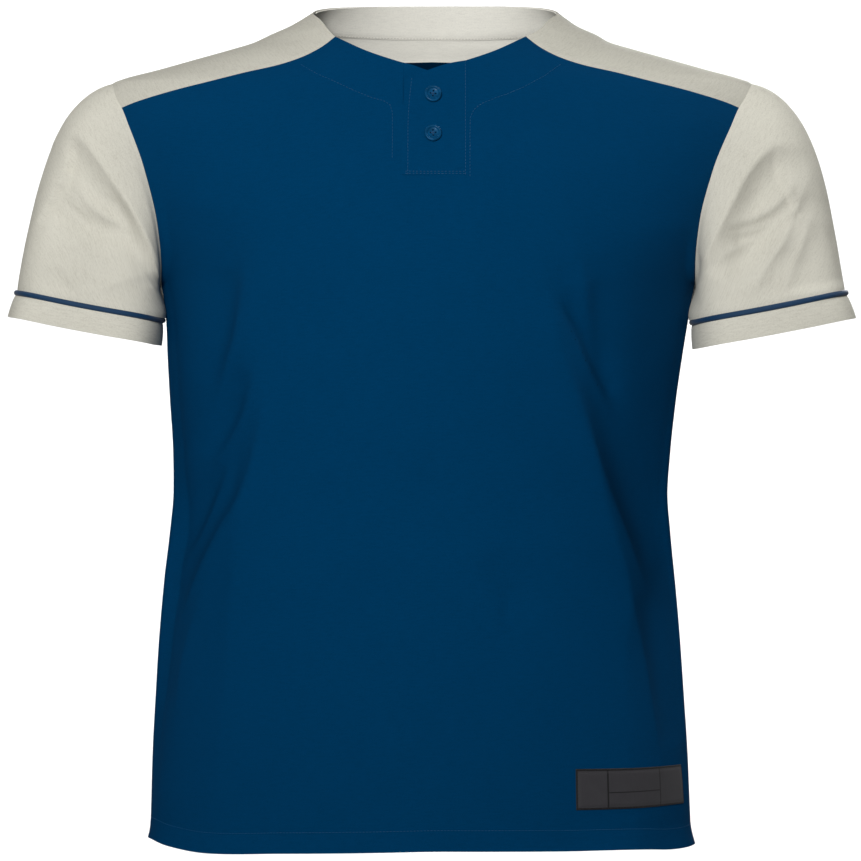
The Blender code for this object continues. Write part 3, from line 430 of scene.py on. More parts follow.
def form_normal(points):
    """The form's outward normals at points on it."""
    step = 0.2 * MM
    x, y, z = points[..., 0], points[..., 1], points[..., 2]
    return unit(np.stack([
        form_level(x + step, y, z) - form_level(x - step, y, z),
        form_level(x, y + step, z) - form_level(x, y - step, z),
        form_level(x, y, z + step) - form_level(x, y, z - step),
    ], axis=-1))


def shoulder_point(plan):
    """The point on top of the form above each (x, y) of the plan, found by halving the height's range."""
    x, y = plan[..., 0], plan[..., 1]
    low = np.full(x.shape, -125.0 * MM)
    high = np.full(x.shape, 29.0 * MM)
    for _ in range(40):
        middle = (low + high) / 2
        inside = form_level(x, y, middle) < 1
        low = np.where(inside, middle, low)
        high = np.where(inside, high, middle)
    return np.stack([x, y, low], axis=-1)


def armhole_point(side, turn):
    """The armhole's point at an angle round from its top: 90 degrees is its front, 180 degrees the armpit."""
    z = ARMHOLE_MIDDLE + ARMHOLE_RADIUS * np.cos(turn)
    y = -np.sin(turn) * np.where(np.sin(turn) > 0, ARMHOLE_FRONT, ARMHOLE_BACK)
    half, front, back, power, shift = ring(z)
    depth = np.where(y < 0, front, back)
    x = shift + side * half * (1 - (np.abs(y) / depth) ** power) ** (1 / power)
    return np.stack([x, y, z], axis=-1)


def armhole_turn(z):
    """The angle round the armhole, towards the front, at which it has height z."""
    return math.acos(max(-1.0, min(1.0, (z - ARMHOLE_MIDDLE) / ARMHOLE_RADIUS)))


def nearest_on(path, points):
    """Each point's distance from a path of (x, z), its share of the way along, and how far left it lies."""
    x, z = points[..., 0], points[..., 2]
    near = np.full(x.shape, 1e9)
    along, left = np.zeros(x.shape), np.zeros(x.shape)
    for number, (place, following) in enumerate(zip(path[:-1], path[1:])):
        step = np.linalg.norm(following - place)
        way = (following - place) / step
        dx, dz = x - place[0], z - place[1]
        share = np.clip((dx * way[0] + dz * way[1]) / step, 0, 1)
        distance = np.hypot(dx - way[0] * step * share, dz - way[1] * step * share)
        closer = distance < near
        along = np.where(closer, (number + share) / (len(path) - 1), along)
        left = np.where(closer, way[0] * dz - way[1] * dx, left)
        near = np.minimum(distance, near)
    return near, along, left


def fold_height(points, outward, folds):
    """How far the folds lift each point. A fold fades towards its ends and on the form's other side."""
    height = np.zeros(points.shape[:-1])
    for row in folds:
        fold = dict(zip(FOLD_COLUMNS, row))
        path = np.array(fold["path"], float) * MM
        run = lengths_along(path, 0)
        samples = columns_at(np.column_stack([run, path]), np.linspace(0, run[-1], FOLD_SAMPLES))
        near, along, left = nearest_on(np.stack(samples, axis=1), points)
        offset = left * fold["face"]
        facing = np.clip(-fold["face"] * outward[..., 1] * 3, 0, 1)
        fade = np.sin(math.pi * np.clip(along, 0.01, 0.99)) ** FOLD_FADE
        reach = bell(np.sqrt(np.maximum(near ** 2 - offset ** 2, 0)), fold["rise_width"] * MM)
        rise, drop = fold["rise"], fold["drop"]
        rising = rise * bell(offset, fold["rise_width"] * MM)
        away = np.maximum(offset, 0) / MM
        fallen = 1 - (1 - np.clip(away / fold["fall_width"], 0, 1)) ** 2
        returned = 1 - bell(np.maximum(away - fold["fall_width"], 0), fold["return_width"])
        falling = rise - (rise + drop) * fallen + drop * returned
        height += MM * fade * facing * reach * np.where(offset < 0, rising, falling)
    return height


def flank_height(points):
    """How far the wearer's left flank lies inside the form: nothing at its start and at the side seam."""
    x, z = points[..., 0], points[..., 2]
    start, depth = columns_at(LEFT_FLANK, z / MM)
    share = np.clip((np.degrees(form_angle(x, z)) - start) / (90 - start), 0, 1)
    return -depth * MM * np.sin(math.pi * share) * (z < LEFT_FLANK[0][0] * MM)


def drift(points, size, height, seed):
    """Soft uneven waves about "size" across, as sums of sines in turned directions."""
    rng = np.random.default_rng(seed)
    total = np.zeros(points.shape[:-1])
    for _ in range(7):
        way = unit(rng.normal(size=3))
        wave = size * rng.uniform(0.7, 1.6)
        total += np.sin(points @ way * 2 * math.pi / wave + rng.uniform(0, 2 * math.pi))
    return total / 7 * height


def drifts(points, waves):
    return sum(drift(points, *wave) for wave in waves)


def grid_normals(grid, closed):
    """Normals of a grid of points, taken from its neighbours."""
    if closed:
        across = np.roll(grid, -1, axis=1) - np.roll(grid, 1, axis=1)
    else:
        across = np.gradient(grid, axis=1)
    return unit(np.cross(across, np.gradient(grid, axis=0)))


def facing_outward(grid, outward):
    """The grid's own normals, turned to the side that the form's normals point to."""
    normal = grid_normals(grid, False)
    agree = np.sign(np.sum(normal * outward, axis=-1, keepdims=True))
    return normal * np.where(agree == 0, 1, agree)


def edge_distance(grid, *edges):
    """Distance along the cloth from each point to the nearest of the named edges."""
    rows, columns = lengths_along(grid, 0), lengths_along(grid, 1)
    found = {"first_row": rows, "last_row": rows[-1:] - rows,
             "first_column": columns, "last_column": columns[:, -1:] - columns}
    return np.min([found[edge] for edge in edges], axis=0)


def settled(grid, outward, height):
    """The grid lifted by height, which fades at its sides and top: there it is sewn, and dips a little."""
    distance = edge_distance(grid, "last_row", "first_column", "last_column")
    height = height * ease(distance / SEAM_FADE) - SEAM_DIP * bell(distance, SEAM_DIP_WIDTH)
    return grid + outward * height[..., None]


def seam_heights(table, count):
    """Heights at equal shares of the way along a seam."""
    return smooth(table, np.linspace(0, 1, count + 1)) * MM


def front_seam(side):
    """The front yoke seam's points from the neck corner to the armhole."""
    shares = np.linspace(0, 1, N_YOKE + 1)
    heights = seam_heights(FRONT_SEAM, N_YOKE)
    end = armhole_point(side, armhole_turn(heights[-1]))
    x = side * (NECK_CORNER_X + (abs(end[0]) - NECK_CORNER_X) * shares)
    points = form_point(form_angle(x, heights), heights)
    points[-1] = end
    return points


def back_seam(side):
    """The back yoke seam's points from the middle of the back to the armhole."""
    shares = np.linspace(0, 1, N_BACK + 1)
    heights = seam_heights(BACK_SEAM, N_BACK)
    end = armhole_point(side, -armhole_turn(heights[-1]))
    shift = ring(heights)[4]
    x = shift + side * abs(end[0] - shift[-1]) * shares
    points = form_point(math.pi - form_angle(x, heights), heights)
    points[-1] = end
    return points


def neck_edge(side, count):
    """The neck edge's points from the front yoke seam to the middle of the back."""
    corner_z = NECK_EDGE[0][1] * MM
    corner = abs(math.degrees(float(form_angle(side * NECK_CORNER_X, corner_z))))
    angles = np.linspace(corner, 180.0, count + 1)
    table = ((corner, NECK_EDGE[0][1]), *NECK_EDGE[1:])
    return form_point(side * np.radians(angles), smooth(table, angles) * MM)


def filled_plan(first_column, last_column, first_row, last_row):
    """Points in plan that fill the space between four edges, by blending opposite edges."""
    s = np.linspace(0, 1, len(first_row))[None, :, None]
    w = np.linspace(0, 1, len(first_column))[:, None, None]
    between_rows = (1 - w) * first_row[None] + w * last_row[None]
    between_columns = (1 - s) * first_column[:, None] + s * last_column[:, None]
    corners = ((1 - w) * ((1 - s) * first_row[0] + s * first_row[-1])
               + w * ((1 - s) * last_row[0] + s * last_row[-1]))
    return between_rows + between_columns - corners


def yoke_turns():
    """Angles round the armhole from the front yoke seam over the top to the back yoke seam."""
    front = armhole_turn(FRONT_SEAM[-1][1] * MM)
    back = armhole_turn(BACK_SEAM[-1][1] * MM)
    return np.linspace(front, -back, N_ARM_YOKE + 1)


def yoke_grid(side):
    """Rows run from the neck edge outwards, columns from the front seam round to the middle of the back."""
    columns = N_ARM_YOKE + N_BACK
    neck = neck_edge(side, columns)
    outer = np.concatenate([armhole_point(side, yoke_turns()), back_seam(side)[::-1][1:]])
    front = front_seam(side)
    middle_back = np.linspace(neck[-1], outer[-1], N_YOKE + 1)
    plan = filled_plan(front[:, :2], middle_back[:, :2], neck[:, :2], outer[:, :2])
    grid = shoulder_point(plan)
    grid[:, 0], grid[0], grid[-1] = front, neck, outer
    return grid


def rise_shares():
    """Shares of the way up from the armpit to the yoke seam, with a row on the placket's bottom edge."""
    top = NECK_FRONT[1][1] * MM
    placket = (PLACKET_BOTTOM - ARMPIT) / (top - ARMPIT)
    low = np.linspace(0, 1, N_RISE_LOW + 1) ** 1.5 * placket
    return np.concatenate([low, np.linspace(placket, 1, N_RISE_HIGH + 1)[1:]])


def side_turns(front):
    """Angles round the armhole from the armpit up to the front, or the back, yoke seam."""
    corner = (FRONT_SEAM if front else BACK_SEAM)[-1][1] * MM
    heights = ARMPIT + (corner - ARMPIT) * rise_shares()
    turns = np.array([armhole_turn(z) for z in heights])
    return turns if front else -turns


def body_rows():
    """Row heights from the hem up to just under the armpits."""
    count = round((ARMPIT - HEM) / CELL)
    return np.linspace(HEM, ARMPIT, count + 1)[:-1]


def body_grid(top, front):
    """A body panel's points: level rows up to the armpits, then rows that bend into the panel's top edge."""
    count = len(top) - 1
    share = np.linspace(-1, 1, count + 1)
    start = 0.0 if front else math.pi
    way = 1.0 if front else -1.0
    across = form_point(share * math.pi / 2, HEM)[:, 0]
    rise = smooth(HEM_RISE, across / MM) * MM
    rows = []
    for z in body_rows():
        height = z + rise * max(0.0, 1 - (z - HEM) / HEM_RISE_REACH)
        angle = share * math.pi / 2
        if front:
            angle = beside_placket(angle, height)
        rows.append(form_point(start + way * angle, height))
    turns = side_turns(front)
    edges = {side: armhole_point(side, turns) for side in SIDES.values()}
    for i, (f, left, right) in enumerate(zip(rise_shares(), edges[1.0], edges[-1.0])):
        edge_angle = float(form_angle(left[0], left[2]))
        z = left[2] + (top[:, 2] - np.interp(share, [-1, 1], [top[0, 2], top[-1, 2]])) * f
        reach = np.where(share < 0, right[0] / top[0, 0], left[0] / top[-1, 0])
        angle = (1 - f) * share * edge_angle + f * form_angle(top[:, 0] * reach, z)
        if front:
            if i == N_RISE_LOW:
                z[PLACKET_COLUMNS[0]:PLACKET_COLUMNS[1] + 1] = PLACKET_BOTTOM
            angle = beside_placket(angle, z)
        row = form_point(start + way * angle, z)
        row[0], row[-1] = right, left
        rows.append(row)
    rows[-1][:] = top
    return np.array(rows)


def beside_placket(angle, z):
    """A front row's angles, moved so that two of its columns run straight beside the placket."""
    first, last = PLACKET_COLUMNS
    right = float(form_angle(PLACKET_RIGHT, z[first]))
    left = float(form_angle(PLACKET_LEFT, z[last]))
    places = [angle[0], angle[first], angle[last], angle[-1]]
    return np.interp(angle, places, [angle[0], right, left, angle[-1]])


def neck_front_points(x):
    """Points of the front neck edge between the yokes."""
    z = smooth(NECK_FRONT, np.abs(x) / MM) * MM
    return form_point(form_angle(x, z), z)


def front_top():
    """The front panel's top edge from the right armhole to the left one, straight across the placket."""
    right, left = front_seam(-1.0)[::-1], front_seam(1.0)
    right_neck = neck_front_points(np.linspace(-NECK_CORNER_X, PLACKET_RIGHT, N_NECK + 1)[1:])
    left_neck = neck_front_points(np.linspace(PLACKET_LEFT, NECK_CORNER_X, N_NECK + 1)[:-1])
    across = np.linspace(PLACKET_RIGHT, PLACKET_LEFT, N_PLACKET + 1)[1:-1]
    heights = np.interp(across, [PLACKET_RIGHT, PLACKET_LEFT], [right_neck[-1, 2], left_neck[0, 2]])
    middle = form_point(form_angle(across, heights), heights)
    return np.concatenate([right, right_neck, middle, left_neck, left])


def lengths_along(grid, axis):
    """Distance along the rows or columns of a grid, from its first one."""
    step = np.linalg.norm(np.diff(grid, axis=axis), axis=-1)
    start = np.zeros_like(np.take(step, [0], axis=axis))
    return np.concatenate([start, np.cumsum(step, axis=axis)], axis=axis)


def make_mesh(name, points, faces, uvs, materials, material_of_face=None):
    """A smooth mesh from arrays. uvs holds a (u, v) in metres for each corner of each face."""
    mesh = bpy.data.meshes.new(name)
    sizes = np.array([len(face) for face in faces])
    corners = np.concatenate([np.asarray(face) for face in faces]) if len(faces) else np.zeros(0)
    mesh.vertices.add(len(points))
    mesh.vertices.foreach_set("co", np.asarray(points, np.float32).ravel())
    mesh.loops.add(len(corners))
    mesh.loops.foreach_set("vertex_index", corners.astype(np.int32))
    mesh.polygons.add(len(faces))
    mesh.polygons.foreach_set("loop_start", np.concatenate([[0], np.cumsum(sizes)[:-1]]).astype(np.int32))
    if material_of_face is not None:
        mesh.polygons.foreach_set("material_index", np.asarray(material_of_face, np.int32))
    mesh.update(calc_edges=True)
    if uvs is not None:
        layer = mesh.uv_layers.new(name="cloth")
        layer.data.foreach_set("uv", np.asarray(uvs, np.float32).ravel())
    mesh.validate()
    mesh.shade_smooth()
    made = bpy.data.objects.new(name, mesh)
    bpy.context.scene.collection.objects.link(made)
    for material in materials:
        made.data.materials.append(material)
    return made


def cell_faces(rows, columns, closed, missing):
    """The corner numbers of a grid's cells, one row for each cell, and the cells' own rows and columns."""
    cells = columns if closed else columns - 1
    r, c = np.meshgrid(np.arange(rows - 1), np.arange(cells), indexing="ij")
    if missing is not None:
        keep = ~missing(r, c)
        r, c = r[keep], c[keep]
    r, c = r.ravel(), c.ravel()
    after = (c + 1) % columns
    return np.stack([r * columns + c, r * columns + after, (r + 1) * columns + after, (r + 1) * columns + c],
                    axis=1), r, c


def shell(name, outer, outward, materials, thickness=KNIT, closed=False, missing=None, material_of_cell=None,
          inner_painted=False):
    """A thin cloth shell: the outer grid, an inner one a thickness behind it, and narrow rims.

    Its inner side can show the second material instead: a copy of the cloth with painted shade or painted
    light.
    """
    rows, columns = outer.shape[:2]
    quads, r, c = cell_faces(rows, columns, closed, missing)
    flat = outer.reshape(-1, 3)
    way = np.cross(flat[quads[:, 1]] - flat[quads[:, 0]], flat[quads[:, 3]] - flat[quads[:, 0]])
    if np.sum(way * outward.reshape(-1, 3)[quads[:, 0]]) < 0:
        quads = quads[:, ::-1]
    points = np.concatenate([flat, (outer - outward * thickness).reshape(-1, 3)])
    behind = rows * columns
    starts = quads.ravel()
    ends = np.roll(quads, -1, axis=1).ravel()
    codes = starts.astype(np.int64) * behind + ends
    free = ~np.isin(ends.astype(np.int64) * behind + starts, codes)
    rims = np.stack([ends[free], starts[free], behind + starts[free], behind + ends[free]], axis=1)
    faces = np.concatenate([quads, quads[:, ::-1] + behind, rims])
    u = lengths_along(np.concatenate([outer, outer[:, :1]], axis=1) if closed else outer, 1)
    v = lengths_along(outer, 0)
    if not closed:
        u = u - u[:, columns // 2:columns // 2 + 1]
    number = faces % behind
    row_of, column_of = number // columns, number % columns
    if closed:
        wraps = (column_of.max(axis=1) == columns - 1) & (column_of.min(axis=1) == 0)
        column_of = np.where(wraps[:, None] & (column_of == 0), columns, column_of)
    uv = np.stack([u[row_of, column_of], v[row_of, column_of % columns]], axis=-1)
    shades = None
    if material_of_cell is not None:
        of_cell = material_of_cell(r, c)
        shades = np.concatenate([of_cell, of_cell, np.zeros(len(rims), int)])
    if inner_painted:
        shades = np.repeat([0, 1, 0], [len(quads), len(quads), len(rims)])
    used = np.unique(faces)
    renumber = np.zeros(len(points), int)
    renumber[used] = np.arange(len(used))
    made = make_mesh(name, points[used], renumber[faces], uv.reshape(-1, 2), materials, shades)
    rim_edges = np.stack([starts[free], ends[free]], axis=1)
    mark_sharp(made.data, renumber[np.concatenate([rim_edges, rim_edges + behind])])
    return made


def mark_sharp(mesh, pairs):
    """Marks the edges between these pairs of points as sharp, so that the light doesn't blend across them."""
    edges = np.empty(len(mesh.edges) * 2, np.int32)
    mesh.edges.foreach_get("vertices", edges)
    edges = np.sort(edges.reshape(-1, 2), axis=1).astype(np.int64)
    pairs = np.sort(pairs, axis=1)
    size = len(mesh.vertices)
    sharp = np.isin(edges[:, 0] * size + edges[:, 1], pairs[:, 0] * size + pairs[:, 1])
    mesh.edges.foreach_set("use_edge_sharp", sharp)


def grid_at(grid, rows, columns):
    """The grid's values at fractional rows and columns."""
    rows, columns = np.broadcast_arrays(np.asarray(rows, float), np.asarray(columns, float))
    r = np.clip(np.floor(rows).astype(int), 0, grid.shape[0] - 2)
    c = np.clip(np.floor(columns).astype(int), 0, grid.shape[1] - 2)
    u, v = (rows - r)[..., None], (columns - c)[..., None]
    low = grid[r, c] * (1 - v) + grid[r, c + 1] * v
    high = grid[r + 1, c] * (1 - v) + grid[r + 1, c + 1] * v
    return low * (1 - u) + high * u


def line_at(grid, normal, rows, columns):
    """Points and outward normals at fractional rows and columns."""
    return grid_at(grid, rows, columns), unit(grid_at(normal, rows, columns))


def rod_faces(stations, sides, base=0, turned=False):
    """The faces of a closed rod, whose rings of points go the other way round if it is turned."""
    faces = []
    for low in range(base, base + (stations - 1) * sides, sides):
        for k in range(sides):
            after = (k + 1) % sides
            faces.append([low + k, low + sides + k, low + sides + after, low + after])
    last = base + (stations - 1) * sides
    faces.append([base + k for k in range(sides)])
    faces.append([last + k for k in reversed(range(sides))])
    return [face[::-1] for face in faces] if turned else faces


def circle(count):
    """Evenly spaced (x, y) points round a circle of radius 1."""
    turns = 2 * math.pi * np.arange(count) / count
    return np.stack([np.cos(turns), np.sin(turns)], axis=1)


def stitches(name, lines, material):
    """Short rounded stitches along lines of (points, outward normals), as one mesh that lies on the cloth."""
    all_points, all_faces = [], []
    for points, outward in lines:
        run = lengths_along(points, 0)

        def read(values, place):
            return np.array([np.interp(place, run, values[:, k]) for k in range(3)])

        count = max(1, int(run[-1] / STITCH_PITCH))
        for place in (np.arange(count) + 0.5) * run[-1] / count:
            centre, up = read(points, place), unit(read(outward, place))
            along = unit(read(points, place + 0.5 * MM) - read(points, place - 0.5 * MM))
            along = unit(along - up * np.dot(along, up))
            across = np.cross(along, up)
            all_faces += rod_faces(len(STITCH_STATIONS), STITCH_SIDES, len(all_points))
            for share, girth in STITCH_STATIONS:
                lift = THREAD * (STITCH_RISE * girth - STITCH_SINK)
                middle = centre + along * share * STITCH_LENGTH + up * lift
                all_points += [middle + (across * x + up * y * STITCH_LOWER) * THREAD * girth
                               for x, y in circle(STITCH_SIDES)]
    return ride_with_slot(make_mesh(name, np.array(all_points), all_faces, None, [material]))


def tube(name, path, radius, material, sides=8):
    """A round thread along a path, closed at both ends."""
    points = []
    for place, along in zip(path, unit(np.gradient(path, axis=0))):
        across = unit(np.cross(along, [0.31, 0.87, 0.39]))
        up = np.cross(across, along)
        points += [place + (across * x + up * y) * radius for x, y in circle(sides)]
    return make_mesh(name, np.array(points), rod_faces(len(path), sides, turned=True), None, [material])


class Nodes:
    """Adds shader nodes and links them, to keep the materials short."""

    def __init__(self, name):
        self.material = bpy.data.materials.new(name)
        self.material.use_nodes = True
        self.tree = self.material.node_tree
        self.shader = self.tree.nodes["Principled BSDF"]

    def fill(self, node, inputs):
        """Sets each input to its number or colour, or links it to another node's output."""
        for name, value in inputs.items():
            if isinstance(value, bpy.types.NodeSocket):
                self.tree.links.new(value, node.inputs[name])
            else:
                node.inputs[name].default_value = value

    def add(self, kind, inputs, **settings):
        node = self.tree.nodes.new(kind)
        for key, value in settings.items():
            setattr(node, key, value)
        self.fill(node, inputs)
        return node

    def place(self, name):
        return self.add("ShaderNodeTexCoord", {}).outputs[name]

    def uv(self, *scale):
        return self.add("ShaderNodeMapping", {"Vector": self.place("UV"), "Scale": scale}).outputs["Vector"]

    def split(self, vector):
        return self.add("ShaderNodeSeparateXYZ", {"Vector": vector}).outputs

    def noise(self, vector, scale, detail=2.0, roughness=0.5):
        inputs = {"Vector": vector, "Scale": scale, "Detail": detail, "Roughness": roughness}
        return self.add("ShaderNodeTexNoise", inputs).outputs["Fac"]

    def math(self, operation, *values):
        return self.add("ShaderNodeMath", dict(enumerate(values)), operation=operation).outputs["Value"]

    def wave(self, value):
        return self.math("SINE", self.math("MULTIPLY", value, 2 * math.pi))

    def total(self, *parts):
        """The sum of parts, each a value and its weight."""
        found = None
        for value, weight in parts:
            part = self.math("MULTIPLY", value, weight)
            found = part if found is None else self.math("ADD", found, part)
        return found

    def ramp(self, value, stops):
        node = self.add("ShaderNodeValToRGB", {"Fac": value})
        elements = node.color_ramp.elements
        while len(elements) < len(stops):
            elements.new(0.5)
        for element, (place, colour) in zip(elements, stops):
            element.position = place
            element.color = (*colour, 1.0)
        return node.outputs["Color"]

    def bump(self, height, strength, distance, **under):
        """Relief from a height. under holds the Normal that it lies on, if there is one."""
        inputs = {"Height": height, "Strength": strength, "Distance": distance, **under}
        return self.add("ShaderNodeBump", inputs).outputs["Normal"]


def scaled(colour, factor):
    return tuple(channel * factor for channel in colour)


def knit_loops(nodes, wale, course):
    """The height of a plain knit's loops: columns of V shapes, "wale" apart, repeating each "course"."""
    place = nodes.split(nodes.uv(1 / wale, 1 / course, 1.0))
    lean = nodes.math("MULTIPLY", nodes.math("PINGPONG", place["X"], 0.5), 1.1)
    loops = nodes.wave(nodes.math("ADD", place["Y"], lean))
    return nodes.total((loops, 0.5), (nodes.wave(place["X"]), 0.35))


def knit_material(name, colour, shade, wale, course, roughness, level, tint, sheen, mottle, relief):
    """Knit cloth: a heather of two yarn shades, fine loops in relief, and a soft fuzz at grazing angles."""
    nodes = Nodes(name)
    fine = nodes.noise(nodes.uv(1.0, 1.5, 1.0), 620.0, 3.0, 0.65)
    streak = nodes.noise(nodes.uv(0.45, 2.2, 1.0), 260.0, 2.0, 0.6)
    broad = nodes.noise(nodes.uv(1.0, 1.0, 1.0), 26.0)
    mixed = nodes.total((fine, 0.55), (streak, 0.35), (broad, 0.10))
    loops = nodes.bump(knit_loops(nodes, wale, course), relief, 0.25 * MM)
    fuzz = nodes.noise(nodes.uv(1.0, 1.3, 1.0), 420.0, 3.0, 0.6)
    stops = [(0.34, shade), (0.5, colour), (0.66, scaled(colour, 1 + mottle / 2))]
    nodes.fill(nodes.shader, {
        "Base Color": nodes.ramp(mixed, stops),
        "Roughness": roughness,
        "Specular IOR Level": level,
        "Specular Tint": (*tint, 1.0),
        "Sheen Weight": sheen,
        "Sheen Roughness": 0.45,
        "Sheen Tint": (*scaled(colour, min(1.0 / max(colour), 3.0)), 1.0),
        "Normal": nodes.bump(fuzz, relief * 0.8, 0.3 * MM, Normal=loops),
    })
    return nodes.material


def woven_material(name, colour, shade, pitch):
    """A satin-woven ribbon: fine crosswise yarns with a slight unevenness."""
    nodes = Nodes(name)
    grain = nodes.noise(nodes.uv(1.0, 3.0, 1.0), 700.0, 2.0, 0.6)
    broad = nodes.noise(nodes.uv(1.0, 1.0, 1.0), 90.0)
    mixed = nodes.total((grain, 0.7), (broad, 0.3))
    yarns = nodes.wave(nodes.split(nodes.uv(1.0, 1 / pitch, 1.0))["Y"])
    nodes.fill(nodes.shader, {
        "Base Color": nodes.ramp(mixed, [(0.32, shade), (0.66, colour)]),
        "Roughness": 0.62,
        "Specular IOR Level": 0.3,
        "Sheen Weight": 0.08,
        "Normal": nodes.bump(yarns, 0.35, 0.15 * MM),
    })
    return nodes.material


def thread_material(name, colour):
    """Twisted sewing thread: slightly lighter than its cloth, with fine diagonal plies."""
    nodes = Nodes(name)
    inputs = {"Vector": nodes.place("Object"), "Scale": 900.0, "Distortion": 1.5}
    wave = nodes.add("ShaderNodeTexWave", inputs, wave_type="BANDS", bands_direction="DIAGONAL")
    plies = wave.outputs["Fac"]
    nodes.fill(nodes.shader, {
        "Base Color": nodes.ramp(plies, [(0.0, scaled(colour, 0.7)), (1.0, colour)]),
        "Roughness": 0.5,
        "Specular IOR Level": 0.35,
        "Normal": nodes.bump(plies, 0.3, 0.08 * MM),
    })
    return nodes.material


def button_material(name, colour):
    """Moulded plastic: clear gloss over a slightly clouded colour, with faint turning marks."""
    nodes = Nodes(name)
    place = nodes.place("Object")
    stops = [(0.3, scaled(colour, 0.75)), (0.7, scaled(colour, 1.25))]
    nodes.fill(nodes.shader, {
        "Base Color": nodes.ramp(nodes.noise(place, 260.0), stops),
        "Roughness": 0.42,
        "Specular IOR Level": 0.16,
        "Specular Tint": (0.2, 0.6, 1.0, 1.0),
        "Coat Weight": 0.06,
        "Coat Roughness": 0.16,
        "Normal": nodes.bump(nodes.noise(place, 900.0), 0.06, 0.1 * MM),
    })
    return nodes.material


def make_materials():
    navy = (0.0002, 0.0358, 0.102)
    stone = (0.60, 0.584, 0.508)
    # The inside colour is a lighter copy of the stone knit: painted light on the inner faces seen through the
    # neck.
    inside = (0.95, 0.93, 0.84)
    navy_knit = {"wale": 0.95 * MM, "course": 0.8 * MM, "tint": (0.02, 0.40, 1.0), "mottle": 0.2,
                 "relief": 0.10}
    stone_knit = {"wale": 1.0 * MM, "course": 0.85 * MM, "tint": (1.0, 1.0, 1.0), "roughness": 0.9,
                  "level": 0.15, "sheen": 0.05}
    outer = {**stone_knit, "mottle": 0.16, "relief": 0.16}
    inner = {**stone_knit, "mottle": 0.12, "relief": 0.12}
    return {
        "navy": knit_material("navy_knit", navy, scaled(navy, 0.86), **navy_knit, roughness=0.8,
                              level=0.06, sheen=0.03),
        "stone": knit_material("stone_knit", stone, (0.50, 0.48, 0.41), **outer),
        # The yokes take the stone knit darkened to 0.86: painted shade on cloth that faces up, away from the
        # light.
        "yoke": knit_material("stone_knit_yoke_painted_shade", scaled(stone, 0.86), (0.43, 0.413, 0.353), **outer),
        # The body panels' inner faces take the navy at 0.3 of its brightness: painted shade inside the
        # garment.
        "navy_painted_shade": knit_material("navy_knit_painted_shade", scaled(navy, 0.3), scaled(navy, 0.26), **navy_knit,
                                     roughness=0.85, level=0.05, sheen=0.02),
        # The yokes' inner faces and the back neck facing take these lighter copies of the stone knit: painted
        # light.
        "yoke_inner_painted_light": knit_material("stone_knit_inner_painted_light", scaled(inside, 0.82), scaled(inside, 0.75), **inner),
        "inside": knit_material("stone_knit_inside_painted_light", inside, scaled(inside, 0.9), **inner),
        "piping": woven_material("piping_knit", (0.0008, 0.034, 0.095), (0.0005, 0.027, 0.078), 0.6 * MM),
        "navy_thread": thread_material("navy_thread", (0.001, 0.060, 0.165)),
        "stone_thread": thread_material("stone_thread", (0.72, 0.70, 0.62)),
        "button": button_material("button_plastic", (0.001, 0.043, 0.115)),
        "tag": woven_material("tag_cloth", (0.037, 0.036, 0.041), (0.027, 0.026, 0.030), 0.5 * MM),
        "tag_border": woven_material("tag_border", (0.005, 0.005, 0.006), (0.003, 0.003, 0.004), 0.5 * MM),
    }


def declare(piece, grid, node, closed=False):
    """Works out a piece's greatest width and length along the cloth, which go unused, hides its solid and
    ties the piece to the root body.
    """
    around = np.concatenate([grid, grid[:, :1]], axis=1) if closed else grid
    width = float(lengths_along(around, 1)[:, -1].max())
    length = float(lengths_along(around, 0)[-1].max())
    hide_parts(node)
    ride_with_slot(piece)


def ride_with_slot(piece):
    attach(piece, "root")
    return piece


def hem_wave(grid, length):
    """A small ripple along the hem that dies out upwards."""
    run = lengths_along(grid, 1) * 2 * math.pi / length
    fade = np.clip(1 - np.arange(grid.shape[0]) / HEM_RIPPLE_ROWS, 0, 1)[:, None] ** 2
    return HEM_RIPPLE * fade * (np.sin(run) + 0.6 * np.sin(run / 1.7 + 1.3))


def hem_height(grid):
    """The turned hem is two layers thick up to its stitch line, where the thread draws it in."""
    past = edge_distance(grid, "first_row") - HEM_STITCH
    return HEM_STEP * (1 - ease((past + 1.0 * MM) / (2.0 * MM))) - HEM_GROOVE * bell(past, 1.2 * MM)


def line_groove(points, path):
    """How far a line of topstitching, given as (x, z) points in front, draws the cloth in."""
    near = nearest_on(np.array(path) * MM, points)[0]
    return -GROOVE_DEPTH * bell(near, GROOVE_WIDTH) * (points[..., 1] < 0)


def line_on(grid, outward, path):
    """Points and normals on a front grid along a path of (x, z), weighed from the nearest grid points."""
    path = np.array(path) * MM
    places = []
    for start, end in zip(path[:-1], path[1:]):
        count = max(2, int(np.hypot(*(end - start)) / (1.0 * MM)))
        places += list(np.linspace(start, end, count, endpoint=False))
    places.append(path[-1])
    flat, flat_out = grid.reshape(-1, 3), outward.reshape(-1, 3)
    points, normals = [], []
    for place in places:
        away = np.hypot(*(flat[:, [0, 2]] - place).T)
        near = np.argsort(away)[:6]
        weight = 1 / (away[near] + 0.1 * MM) ** 2
        weight /= weight.sum()
        normal = unit((flat_out[near] * weight[:, None]).sum(axis=0))
        base = (flat[near] * weight[:, None]).sum(axis=0)
        dx, dz = place - base[[0, 2]]
        slide = -(normal[0] * dx + normal[2] * dz) / min(normal[1], -0.2)
        points.append(base + [dx, slide, dz])
        normals.append(normal)
    return np.array(points), np.array(normals)


